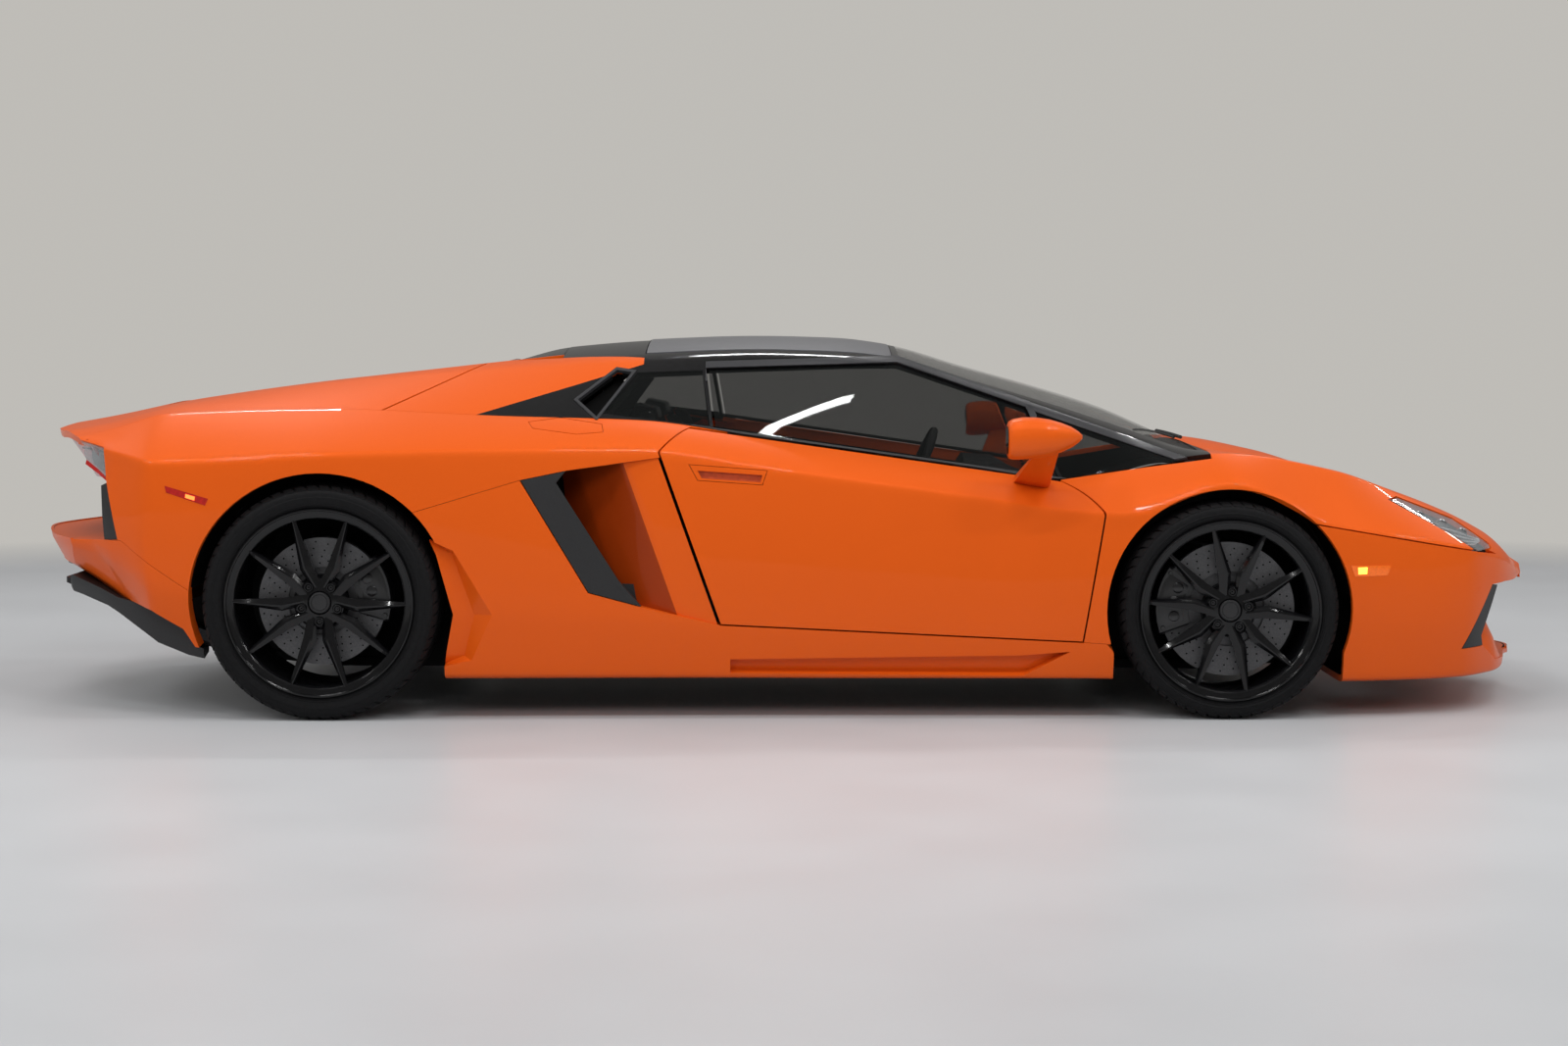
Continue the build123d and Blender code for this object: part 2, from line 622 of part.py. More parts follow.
def hinge_pins(x, z, y, away):
    """A pin at each side, between two cheeks that reach back under the fixed panel."""
    made = None
    for side in (-1, 1):
        middle = side * y
        half = HINGE_EYE / 2 + 0.6
        pin = cylinder_y(x, z, HINGE_PIN_R, middle - half - 9, middle + half + 9)
        for cheek in (-1, 1):
            y_in, y_out = middle + cheek * half, middle + cheek * (half + 10)
            span = (min(y_in, y_out), max(y_in, y_out))
            pin += cylinder_y(x, z, HINGE_EYE_R, *span)
            reach = sorted((x, x + away * 30))
            pin += box(tuple(reach), span, (z - HINGE_EYE_R - 9, z - 1))
        pin += box(tuple(sorted((x + away * 18, x + away * 30))), (middle - half - 10, middle + half + 10),
                   (z - HINGE_EYE_R - 9, z - 1))
        made = pin if made is None else made + pin
    return made


def with_eyes(panel, x, z, y, towards):
    """The panel with its hinge eyes; towards is the panel's side of the axis."""
    half = HINGE_EYE / 2
    for side in (-1, 1):
        middle = side * y
        panel += cylinder_y(x, z, HINGE_EYE_R, middle - half, middle + half)
        reach = tuple(sorted((x, x + towards * 42)))
        panel += box(reach, (middle - half, middle + half), (z - HINGE_EYE_R, z - 1))
        near = tuple(sorted((x + towards * 14, x + towards * 42)))
        panel += box(near, (middle - half, middle + half), (z - HINGE_EYE_R - 10, z - 1))
    for side in (-1, 1):
        panel -= cylinder_y(x, z, HINGE_PIN_R + PIN_FIT, side * y - half - 1, side * y + half + 1)
    return panel


def front_lid():
    skin = wall(SKIN, LID_REAR - 20, LID_FRONT + 20) & top_prism(LID_TOP, 300)
    return with_eyes(skin, LID_REAR - HINGE_BACK, skin_z(LID_REAR, LID_HINGE_Y) - HINGE_DOWN, LID_HINGE_Y, 1)


def engine_cover():
    """The cover over the engine, with louvres across it."""
    skin = wall(SKIN, ENGINE_LID_REAR - 20, ENGINE_LID_FRONT + 20) & top_prism(ENGINE_LID_TOP, 500)
    pitch = (ENGINE_LID_FRONT - ENGINE_LID_REAR - 240) / LOUVRES
    for number in range(LOUVRES):
        x = ENGINE_LID_REAR + 60 + pitch * (number + 0.15)
        slat = wall(LOUVRE_RISE + 5, x, x + pitch * 0.7, -LOUVRE_RISE)
        skin += slat & top_prism(both_ways([(x + 1, 285), (x + pitch * 0.7 - 1, 285)]), 500)
    z = skin_z(ENGINE_LID_FRONT, ENGINE_HINGE_Y) - HINGE_DOWN
    return with_eyes(skin, ENGINE_LID_FRONT + HINGE_BACK, z, ENGINE_HINGE_Y, -1)


def skin_z(x, y):
    """Height of the hull's top at (x, y), for y inside the top crease."""
    s = section_at(x)
    rise = s.z_crown - s.z_top
    radius = (s.y_top ** 2 + rise ** 2) / (2 * rise)
    return s.z_crown - radius + (radius ** 2 - y ** 2) ** 0.5


def deck_edge(by=0.0):
    """Plan outline of the upper deck, just inside the belt crease."""
    front = place(300)
    line = [(s.x, s.y_belt - 4 + by) for s in SECTIONS if s.x < front]
    return [(TAIL - 20, line[0][1])] + line[1:] + [(front, section_at(front).y_belt - 4 + by)]


def rear_quarters(arch_cuts):
    """Haunches, from the door back to the tail."""
    skin = wall(SKIN, TAIL, place(-180)) & half_space(400)
    cuts = [
        door_space(SHUT),
        top_prism(both_ways(deck_edge()), 600),
        side_prism(SKIRT_SIDE, 400), side_prism(INTAKE_SIDE, 400), side_prism(BLADE_SIDE, 400),
        side_prism(BUMPER_SIDE, 0), side_prism(TAIL_RECESS_SIDE, 0), side_prism(TAIL_TOP_SIDE, 0),
        box((TAIL, place(-100)), (0, SILL_IN), (0, SILL_Z + 20)),
    ]
    return cut_all(skin, *cuts, *arch_cuts)


def intake_duct():
    """A curved wall that leads air from the door's edge in behind the blade, for y > 0."""
    ends = []
    for z, share in ((280, 0), (786, 1)):
        x = on_line(DOOR_REAR_TOP[::-1], DOOR_REAR_LOW[::-1], z) - SHUT - 7
        section = section_at(x)
        skin_y = on_line((section.z_low, section.y_low), (section.z_waist, section.y_waist), z) - SHUT
        outer = []
        for back, in_floor, in_roof in DUCT_CURVE:
            outer.append((x - back, skin_y - in_floor - share * (in_roof - in_floor)))
        inner = [(px, py - DUCT_THICK) for px, py in reversed(outer)]
        ends.append(Wire.make_polygon([Vector(px, py, z) for px, py in outer + inner]))
    room = hull(SKIN + SEAM, place(-900), place(-100)) + side_prism(grow(INTAKE_SIDE, -SEAM), 500)
    return (Solid.make_loft(ends, ruled=True) & room) - side_prism(grow(SKIRT_SIDE, SEAM), SILL_IN)


def buttress_space(by=0.0):
    """The deck's side of its front ends, grown by a seam."""
    side = side_prism(grow(BUTTRESS_SIDE, by) if by else BUTTRESS_SIDE, -WIDE)
    return side - top_prism(grow(HOOP_TOP, -by) if by else HOOP_TOP, 600)


def rear_deck():
    """Buttresses and the deck round the engine cover."""
    skin = wall(SKIN, TAIL, ROOF_REAR - SEAM) & top_prism(both_ways(deck_edge(-SEAM)), 600)
    skin = skin & buttress_space()
    cuts = [
        top_prism(grow(ENGINE_LID_TOP, SHUT), 500),
        box((ENGINE_LID_FRONT, ENGINE_LID_FRONT + HINGE_GAP), (-380, 380), (900, HIGH)),
        side_prism(TAIL_RECESS_SIDE, -WIDE), side_prism(TAIL_TOP_SIDE, -WIDE),
        side_prism(BUMPER_SIDE, -WIDE),
    ]
    z = skin_z(ENGINE_LID_FRONT, ENGINE_HINGE_Y) - HINGE_DOWN
    pins = hinge_pins(ENGINE_LID_FRONT + HINGE_BACK, z, ENGINE_HINGE_Y, 1)
    return cut_all(skin, *cuts) + pins


def rear_bumper(both_arches):
    skin = wall(BUMPER_WALL, TAIL, BUMPER_FRONT) & side_prism(grow(BUMPER_SIDE, -SEAM), -WIDE)
    cuts = [side_prism(DIFFUSER_SPACE, -DIFFUSER_Y, DIFFUSER_Y), side_prism(TAIL_RECESS_SIDE, -WIDE)]
    exhaust_z = (EXHAUST_Z[0] - SEAM, EXHAUST_Z[1] + SEAM)
    cuts.append(box((TAIL - 10, EXHAUST_X[1] + SEAM), (-EXHAUST_Y - SEAM, EXHAUST_Y + SEAM), exhaust_z))
    return cut_all(skin, *cuts, *both_arches, *liner_space())


def side_skirts(both_arches):
    """Sills, with the recess below the door and the one ahead of the rear wheel."""
    ends = (place(-1200), place(1060))
    skin = wall(SKIRT_WALL, *ends) & half_space(SILL_IN) & side_prism(grow(SKIRT_SIDE, -SEAM))
    sunk = wall(RECESS_DEEP + 2, *ends, -2)
    recesses = [sunk & side_prism(outline, SILL_IN) for outline in (FIN_RECESS_SIDE, SILL_RECESS_SIDE)]
    return cut_all(skin, door_space(SHUT), *recesses, *both_arches, *liner_space())


def intake_blades():
    ends = (BLADE_TOP_REAR[0] - 30, BLADE_LOW_FRONT[0] + 30)
    return wall(BLADE_WALL, *ends) & half_space(500) & side_prism(grow(BLADE_SIDE, -SEAM))


def underfloor(both_arches):
    skin = wall(SKIN, BUMPER_FRONT + SEAM, FRONT_AXLE + 60 - SEAM)
    skin = skin & box((TAIL, NOSE), (-SILL_IN + SEAM, SILL_IN - SEAM), (0, FLOOR_TOP))
    return cut_all(skin, *both_arches)


# ---------------------------------------------------------------- cabin structure
def tub():
    """Floor, sills, posts, bulkheads and tunnel, in one piece."""
    inner = hull(SKIN + SEAM, TUB_REAR, TUB_FRONT)
    parts = [
        box((TUB_REAR, TUB_FRONT), (-SILL_IN + SEAM, SILL_IN - SEAM), (0, FLOOR_TOP)),
        box((TUB_REAR, TUB_REAR + TUB_WALL), (-POST_OUT, POST_OUT), (FLOOR_TOP - 15, REAR_BULKHEAD_Z)),
        box((TUB_FRONT - TUB_WALL, TUB_FRONT), (-POST_OUT, POST_OUT), (FLOOR_TOP - 15, FRONT_BULKHEAD_Z)),
        box((TUB_REAR, TUB_FRONT), (-TUNNEL, TUNNEL), (0, TUNNEL_Z)),
    ]
    shape = parts[0]
    for part in parts[1:]:
        shape += part
    shape = shape & inner
    sill_space = hull(SKIRT_WALL + SEAM, TUB_REAR, TUB_FRONT)
    for side in (-1, 1):
        sill = box((TUB_REAR, TUB_FRONT), sorted_pair(side * (SILL_IN - 10), side * 1000), (0, SILL_Z))
        shape += sill & sill_space
        across = sorted_pair(side * 740, side * POST_OUT)
        rear_post = box((TUB_REAR, TUB_REAR + 160), across, (FLOOR_TOP - 15, REAR_BULKHEAD_Z))
        front_post = box((TUB_FRONT - 72, TUB_FRONT), across, (FLOOR_TOP - 15, FRONT_BULKHEAD_Z))
        across = sorted_pair(side * 700, side * (LUG_IN - 8))
        hinge_post = box((DOOR_HINGE[0] - 40, DOOR_HINGE[0] + 30), across, (600, 695))
        shape += (rear_post + front_post + hinge_post) & inner
    space = door_space(SHUT) & wall(DOOR_WALL + SHUT + 20, place(-500), place(1000), -20)
    shape = cut_all(shape, space, mirrored(space))
    return cut_all(shape, lug_space(), mirrored(lug_space())) + door_pins()


def sorted_pair(a, b):
    return (min(a, b), max(a, b))


def lug_space():
    """Room for the door's hinge arm, beside the front post."""
    return box((DOOR_HINGE[0] - 110, DOOR_HINGE[0] + 60), (LUG_IN - 8, 1000), (500, HIGH))


def hinge_axis_place(length, start):
    """A cylinder's place along the left door's hinge axis, from start outward."""
    out = Vector(0, cos(radians(DOOR_TILT)), -sin(radians(DOOR_TILT)))
    middle = Vector(*DOOR_HINGE) + out * (start + length / 2)
    return Plane(origin=middle, z_dir=out)


def axis_cylinder(radius, start, length):
    return hinge_axis_place(length, start) * Cylinder(radius, length)


def door_pins():
    """Both doors' hinge pins, standing out of the front posts."""
    pin = axis_cylinder(DOOR_PIN_R, -60, 60 + LUG_THICK / 2 + 6)
    return pin + mirrored(pin)


def door():
    """Whole door for y > 0: its outer skin, its thickness and its hinge arm."""
    ends = (place(-460), place(1000))
    shape = wall(DOOR_WALL, *ends) & door_space() & side_prism(DOOR_SIDE, 500)
    shape -= box((place(-600), place(1200)), (0, DOOR_INNER_Y), (DOOR_CORNER_Z - 30, HIGH))
    shape -= receding_edge()
    shape -= wall(HANDLE_DEEP + 2, *ends, -2) & side_prism(HANDLE_SIDE, 500)
    x, y, z = DOOR_HINGE
    span = (y - LUG_THICK / 2, y + LUG_THICK / 2)
    eye = cylinder_y(x, z, LUG_R, *span)
    arm = side_prism([
        (x - 14, z + 14), (x + 18, z - 8), (x - 15, z - 115), (x - 55, z - 115), (x - 55, z - 65),
    ], *span)
    foot = box((x - 55, x - 15), (y - LUG_THICK / 2, y + 95), (z - 115, z - 89))
    bore = axis_cylinder(DOOR_PIN_R + PIN_FIT, -60, 140)
    return shape + (eye + arm + foot) - bore


def roof_frame():
    """Screen pillars, header, cant rails and the rear hoop."""
    skin = wall(FRAME_WALL, VENT_REAR[0], COWL_REAR)
    above = side_prism([
        (VENT_REAR[0], 700), (DOOR_REAR_TOP[0] - 6, 700),
        (DOOR_REAR_TOP[0] - 6, belt(DOOR_REAR_TOP[0]) + SHUT),
        (BELT_FRONT[0] + SHUT, BELT_FRONT[1] + SHUT), (FRONT_QUARTER_LOW[0], FRONT_QUARTER_LOW[1] + SEAM),
        (COWL_REAR, COWL_Z + SEAM), (COWL_REAR, HIGH), (VENT_REAR[0], HIGH),
    ], -WIDE, WIDE)
    inside = [(s.x, s.y_belt - 4 - SEAM) for s in SECTIONS if VENT_REAR[0] < s.x < COWL_REAR]
    edge = [(VENT_REAR[0], section_at(VENT_REAR[0]).y_belt - 4 - SEAM), *inside, (COWL_REAR, COWL_Y + 160)]
    shape = skin & above & top_prism(both_ways(edge), 600)
    cuts = [top_prism(SCREEN_TOP, 600), top_prism(ROOF_TOP, 900)]
    for glass in (grow(DOOR_GLASS_SIDE, SHUT), FRONT_QUARTER_SIDE, REAR_QUARTER_SIDE):
        cuts += [side_prism(glass, 530), side_prism(glass, -WIDE, -530)]
    below = side_prism([at(-700, 600), at(-700, 905), (BELT_FRONT[0] + 8, 712), at(1000, 600)])
    space = door_space(SHUT) & below
    return cut_all(shape, *cuts, space, mirrored(space), buttress_space(SEAM))


def roof_panels():
    """The lift-off top, in two halves."""
    skin = wall(SKIN, ROOF_REAR - 20, ROOF_FRONT + 20)
    plan = [(ROOF_REAR, 0), (ROOF_REAR, 500), (ROOF_FRONT, 520), (ROOF_FRONT, 0)]
    half = top_prism(grow(plan, -SEAM), 900)
    return skin & half


def windscreen():
    skin = wall(GLASS + 2, place(330), COWL_REAR + 10)
    return skin & top_prism(grow(SCREEN_TOP, -SEAM), 600)


def side_windows():
    """The fixed panes before and behind the door, for y > 0."""
    skin = wall(GLASS, place(-600), place(1250)) & half_space(540)
    front = skin & side_prism(grow(FRONT_QUARTER_SIDE, -SEAM))
    rear = skin & side_prism(grow(REAR_QUARTER_SIDE, -SEAM))
    return solids_of(front, rear)


def door_glass():
    skin = wall(GLASS, place(-300), place(900)) & half_space(540)
    shape = skin & side_prism(grow(DOOR_GLASS_SIDE, -SHUT))
    foot = side_prism([
        (BELT_REAR[0] + 10, BELT_REAR[1] + SEAM), (BELT_REAR[0] + 8, BELT_REAR[1] + 14),
        (BELT_FRONT[0] - 20, BELT_FRONT[1] + 16), (BELT_FRONT[0] - 12, BELT_FRONT[1] + SEAM + 2),
    ])
    return shape + (skin & foot)


# The mirror's head, ring by ring from its glass forward: x, then its inner, outer, low and high edges
MIRROR_RINGS = [
    (-92, 996, 1122, 782, 886), (-60, 986, 1132, 776, 902),
    (50, 990, 1128, 786, 894), (120, 1008, 1096, 812, 848),
]


def mirror():
    """Stalk and tapered head, standing on the door's shoulder."""
    rings = []
    for back, inner, outer, low, high in MIRROR_RINGS:
        cut_y, cut_z = (outer - inner) * 0.22, (high - low) * 0.28
        ring = [
            (inner + cut_y, low), (outer - cut_y, low), (outer, low + cut_z), (outer, high - cut_z),
            (outer - cut_y, high), (inner + cut_y, high), (inner, high - cut_z), (inner, low + cut_z),
        ]
        rings.append(Wire.make_polygon([Vector(MIRROR_X + back, y, z) for y, z in ring]))
    head = Solid.make_loft(rings, ruled=True)
    glass = MIRROR_RINGS[0]
    across, up = (glass[1] + 12, glass[2] - 12), (glass[3] + 10, glass[4] - 10)
    head -= box((MIRROR_X - 100, MIRROR_X - 86), across, up)
    foot = [(-60, 800), (45, 800), (45, 860), (-60, 860)]
    neck = [(0, 1012), (56, 1012), (56, 1050), (0, 1050)]
    stalk = Solid.make_loft([
        Wire.make_polygon([Vector(MIRROR_X + x, y, 650) for x, y in foot]),
        Wire.make_polygon([Vector(MIRROR_X + x, y, 806) for x, y in neck]),
    ], ruled=True)
    return (head + stalk) - hull(-SEAM, MIRROR_X - 100, MIRROR_X + 200)


# ---------------------------------------------------------------- inside the cabin
def seat():
    """One shell seat for y > 0, standing on the floor."""
    floor = FLOOR_TOP + SEAM
    shell = [
        (0, floor), (570, floor), (610, 330), (580, 365), (230, 300),
        (20, 930), (-50, 940), (-80, 900), (0, 500),
    ]
    return side_prism([(SEAT_X + x, z) for x, z in shell], SEAT_Y - SEAT_HALF, SEAT_Y + SEAT_HALF)


def dashboard():
    front = TUB_FRONT - TUB_WALL - SEAM
    outline = [(0, 560), (20, 690), (140, 715)]
    outline = [(DASH_REAR + x, z) for x, z in outline] + [(front, 640), (front, 470), (DASH_REAR + 120, 480)]
    block = side_prism(outline, -690, 690)
    console = box((DASH_REAR - 130, DASH_REAR + 140), (-TUNNEL, TUNNEL), (TUNNEL_Z + SEAM, 560))
    bore = wheel_axis_place(400) * Cylinder(COLUMN_R + PIN_FIT, 400)
    return (block + console) - bore


def wheel_axis_place(length):
    """Along the steering column, forward and down from the wheel."""
    ahead = Vector(cos(radians(COLUMN_TILT)), 0, -sin(radians(COLUMN_TILT)))
    return Plane(origin=Vector(*WHEEL_CENTRE) + ahead * (length / 2), z_dir=ahead)


def steering_wheel():
    ahead = Vector(cos(radians(COLUMN_TILT)), 0, -sin(radians(COLUMN_TILT)))
    face = Plane(origin=WHEEL_CENTRE, x_dir=(0, 1, 0), z_dir=ahead)
    grip = [(GRIP_RING_R + GRIP_R * cos(pi * k / 4), GRIP_R * sin(pi * k / 4)) for k in range(8)]
    shape = face * Rot(90, 0, 0) * turned(grip)
    shape += wheel_axis_place(300) * Cylinder(COLUMN_R, 300)
    shape += wheel_axis_place(40) * Cylinder(48, 40)
    for turn in (0, 180, 270):
        shape += face * Rot(0, 0, turn) * Pos(105, 0, 8) * Box(150, 30, 14)
    return shape


# ---------------------------------------------------------------- running gear on the body
def suspension_arms():
    """Wishbones, from the kingpins inward."""
    made = []
    for w in WHEELS:
        pin_y = w.track / 2 - KINGPIN_IN
        for level in (-1, 1):
            z_from = w.tyre_r + level * 167 - 11
            plan = [(w.x - 22, pin_y + 4), (w.x - 120, ARM_IN), (w.x + 120, ARM_IN), (w.x + 22, pin_y + 4)]
            wide, narrow = ARM_IN + 40, pin_y - 110
            hole = [(w.x - 12, narrow), (w.x - 70, wide), (w.x + 70, wide), (w.x + 12, narrow)]
            arm = top_prism(plan, z_from, z_from + 22)
            arm += Pos(w.x, pin_y, z_from + 11) * Cylinder(24, 22)
            arm -= top_prism(hole, z_from - 1, z_from + 23)
            arm -= Pos(w.x, pin_y, z_from + 11) * Cylinder(KINGPIN_R + PIN_FIT, 40)
            made += [arm, mirrored(arm)]
    return made


def luggage_tub():
    """Open box under the front lid."""
    wide, deep = ARM_IN - SEAM, ARM_IN - 12
    outer = box((TUB_FRONT + SEAM, LUGGAGE_FRONT), (-wide, wide), (FLOOR_TOP + SEAM, LUGGAGE_TOP))
    inner = box((TUB_FRONT + 12, LUGGAGE_FRONT - 12), (-deep, deep), (FLOOR_TOP + 100, LUGGAGE_TOP + 200))
    return outer - inner


def engine_block():
    wide = ARM_IN - 50 - SEAM
    return box((place(-1480), TUB_REAR - 30), (-wide, wide), (FLOOR_TOP + SEAM, 700))


def rear_subframe():
    """Rails beside the engine that carry the rear wishbones."""
    made = []
    for side in (-1, 1):
        outer, inner = side * (ARM_IN - SEAM), side * (ARM_IN - 50)
        along, across = (place(-1600), TUB_REAR - SEAM), sorted_pair(outer, inner)
        made.append(box(along, across, (REAR.tyre_r - 175, REAR.tyre_r - 110)))
        made.append(box(along, across, (REAR.tyre_r + 130, REAR.tyre_r + 200)))
    return made


def arch_liners():
    """A shell over each wheel."""
    made = []
    for w in WHEELS:
        outer_y = w.liner_out
        shell = cylinder_y(w.x, w.arch_z, w.well_r + LINER, 560, outer_y)
        shell -= cylinder_y(w.x, w.arch_z, w.well_r, 500, outer_y + 50)
        shell -= box((w.x - 500, w.x + 500), (400, WIDE), (-200, w.arch_z + 40))
        shell = shell & hull(SKIN + SEAM, w.x - 480, w.x + 480)
        if w is FRONT:
            shell -= box((w.x - 500, w.x + 500), (400, ARM_IN + 60), (0, HIGH))
        made += solids_of(shell, mirrored(shell))
    return made


def rear_grille():
    """Mesh panel that closes the recess below the deck."""
    plate = side_prism([(TAIL + 190, 812), (TAIL + 400, 532), (TAIL + 412, 532), (TAIL + 202, 812)], -WIDE)
    return plate & hull(SKIN + SEAM, TAIL, place(-1900))


def tail_lamps():
    """Lenses seated on the grille plate."""
    plate_low, plate_high = (TAIL + 400, 532), (TAIL + 190, 812)
    seat_x = [plate_high[0] + (plate_high[1] - z) * 210 / 280 - SEAM for z in (800, 690)]
    outline = [(seat_x[0], 800), (seat_x[0] - 43, 800), (seat_x[1] - 61, 690), (seat_x[1], 690)]
    lens = side_prism(outline, 560, WIDE)
    return lens & hull(SKIN + SEAM, TAIL, place(-1900))


def diffuser():
    """Ramp under the tail, with upright fins."""
    ramp = side_prism(DIFFUSER_RAMP, -DIFFUSER_Y + SEAM, DIFFUSER_Y - SEAM)
    for y in (-420, -250, -90, 90, 250, 420):
        ramp += side_prism(DIFFUSER_FIN, y - 5, y + 5)
    return ramp


def exhaust():
    body = box(EXHAUST_X, (-EXHAUST_Y, EXHAUST_Y), EXHAUST_Z)
    bore = box((TAIL, TAIL + 300), (-EXHAUST_Y + 12, EXHAUST_Y - 12), (EXHAUST_Z[0] + 12, EXHAUST_Z[1] - 12))
    return body - bore


def front_grilles():
    """Slats behind the nose openings, for y > 0."""
    made = []
    for z in (190, 240, 290, 340):
        slat = box((NOSE - 360, NOSE - 100), (NOTCH_INNER_Y - 30, 800), (z, z + 8))
        made.append(slat & hull(SKIN + SEAM, NOSE - 400, NOSE - 60))
    return made


def intake_strip():
    """The dark upright at the back of each nose opening, for y > 0."""
    return wall(STRIP_WALL, NOSE - 380, NOSE - 200) & side_prism(grow(INTAKE_STRIP_SIDE, -SEAM), 400)


def wiper():
    plan = [(COWL_REAR + 12, -60), (COWL_REAR + 30, -60), (COWL_REAR - 40, 520), (COWL_REAR - 52, 520)]
    arm = top_prism(plan, 700, 900)
    ends = (COWL_REAR - 120, COWL_REAR + 50)
    return arm & (hull(-26, *ends) - hull(-SEAM, ends[0] - 10, ends[1] + 10))


def main_panels():
    """Everything cut from the hull's wall."""
    right = arches()
    both = right + [mirrored(a) for a in right]
    save("front_bumper", front_bumper(both))
    save_pair("front_fenders", front_fenders(right))
    save_pair("headlamps", headlamps())
    save("cowl", cowl())
    save("front_lid", front_lid())
    save("engine_cover", engine_cover())
    save_pair("rear_quarters", rear_quarters(right))
    save("rear_deck", rear_deck())
    save("rear_bumper", rear_bumper(both))
    save_pair("side_skirts", side_skirts(both))
    save_pair("intake_blades", intake_blades())
    save_pair("intake_ducts", intake_duct())
    save("underfloor", underfloor(both))


def main_cabin():
    save("tub", tub())
    left = door()
    save("door_left", left)
    save("door_right", mirrored(left))
    pane = door_glass()
    save("door_glass_left", pane)
    save("door_glass_right", mirrored(pane))
    head = mirror()
    save("mirror_left", head)
    save("mirror_right", mirrored(head))
    save("roof_frame", roof_frame())
    save_pair("roof_panels", roof_panels())
    save("windscreen", windscreen())
    panes = side_windows()
    save("side_windows", *panes, *[mirrored(p) for p in panes])
    save_pair("seats", seat())
    save("dashboard", dashboard())
    save("steering_wheel", steering_wheel())


def main_running():
    save("suspension_arms", *suspension_arms())
    save("luggage_tub", luggage_tub())
    save("engine_block", engine_block())
    save("rear_subframe", *rear_subframe())
    save("arch_liners", *arch_liners())
    save("rear_grille", rear_grille())
    save_pair("tail_lamps", tail_lamps())
    save("diffuser", diffuser())
    save("exhaust", exhaust())
    bars = front_grilles()
    strip = intake_strip()
    save("front_grilles", *bars, strip, *[mirrored(b) for b in bars + [strip]])
    save("wiper", wiper())


if __name__ == "__main__":
    main_panels()
    main_cabin()
    main_running()
    make_wheels()
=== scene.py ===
import json
from math import copysign, cos, exp, hypot, pi, radians, sin

import bmesh
import bpy
import numpy as np
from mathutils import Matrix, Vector
from mathutils.bvhtree import BVHTree
from mathutils.interpolate import poly_3d_calc

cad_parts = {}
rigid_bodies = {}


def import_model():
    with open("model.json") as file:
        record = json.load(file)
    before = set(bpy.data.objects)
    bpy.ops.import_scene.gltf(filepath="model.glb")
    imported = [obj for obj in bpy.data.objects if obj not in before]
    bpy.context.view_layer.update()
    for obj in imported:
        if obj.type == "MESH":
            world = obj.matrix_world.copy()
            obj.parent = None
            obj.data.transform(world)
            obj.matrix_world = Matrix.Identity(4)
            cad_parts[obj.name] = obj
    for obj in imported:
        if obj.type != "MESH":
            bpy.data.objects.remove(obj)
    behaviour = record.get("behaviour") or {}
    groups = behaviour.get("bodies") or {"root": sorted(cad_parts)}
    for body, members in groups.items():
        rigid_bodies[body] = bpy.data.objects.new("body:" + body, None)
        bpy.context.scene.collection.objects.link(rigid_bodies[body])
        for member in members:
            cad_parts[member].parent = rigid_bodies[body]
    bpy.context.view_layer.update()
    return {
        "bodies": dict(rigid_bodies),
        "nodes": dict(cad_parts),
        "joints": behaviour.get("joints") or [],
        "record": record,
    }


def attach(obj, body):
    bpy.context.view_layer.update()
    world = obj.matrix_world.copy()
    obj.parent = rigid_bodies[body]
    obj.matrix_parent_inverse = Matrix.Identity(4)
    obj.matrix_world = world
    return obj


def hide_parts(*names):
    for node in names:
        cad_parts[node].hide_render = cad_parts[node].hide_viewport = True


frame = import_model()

MM = 0.001
FRONT_X, REAR_X = 1315, -1385
TAU = 2 * pi

# ------------------------------------------------------------------ materials


def fill(node, values):
    """Sets a node's sockets by name."""
    for socket, value in values.items():
        node.inputs[socket].default_value = value
    return node


def new_node(tree, kind, values=None, operation=None):
    node = tree.nodes.new("ShaderNode" + kind)
    if operation:
        node.operation = operation
    return fill(node, values or {})


def wire(tree, *runs):
    """Links (from node, its output, to node, its input), run by run."""
    for source, out, target, into in runs:
        tree.links.new(source.outputs[out], target.inputs[into])


def look(name, base, rough=0.5, metallic=0.0, coat=0.0, coat_rough=0.03, spec=0.5, alpha=1.0, vary=0.0,
         scale=400.0, bump=0.0, bump_scale=900.0, second=None, emit=None, strength=0.0):
    """A Principled material whose colour and roughness vary with noise, with a fine bump."""
    mat = bpy.data.materials.new(name)
    mat.use_nodes = True
    tree = mat.node_tree
    shader = fill(tree.nodes["Principled BSDF"], {
        "Roughness": rough, "Metallic": metallic, "Coat Weight": coat, "Coat Roughness": coat_rough,
        "Specular IOR Level": spec, "IOR": 1.5, "Alpha": alpha, "Base Color": (*base, 1)})
    if emit:
        fill(shader, {"Emission Color": (*emit, 1), "Emission Strength": strength})
    coords = new_node(tree, "TexCoord")
    if vary or second:
        noise = new_node(tree, "TexNoise", {"Scale": scale, "Detail": 3})
        ramp = new_node(tree, "ValToRGB")
        other = second or tuple(min(1, c * (1 + vary)) for c in base)
        for stop, place, colour in zip(ramp.color_ramp.elements, (0.35, 0.65), (base, other)):
            stop.position, stop.color = place, (*colour, 1)
        spread = new_node(tree, "MapRange", {"To Min": rough * 0.9, "To Max": min(1, rough * 1.12)})
        wire(tree, (coords, "Object", noise, "Vector"), (noise, "Fac", ramp, "Fac"),
             (ramp, "Color", shader, "Base Color"), (noise, "Fac", spread, "Value"),
             (spread, "Result", shader, "Roughness"))
    if bump:
        fine = new_node(tree, "TexNoise", {"Scale": bump_scale})
        height = new_node(tree, "Bump", {"Strength": bump, "Distance": 0.002})
        wire(tree, (coords, "Object", fine, "Vector"), (fine, "Fac", height, "Height"),
             (height, "Normal", shader, "Normal"))
    return mat


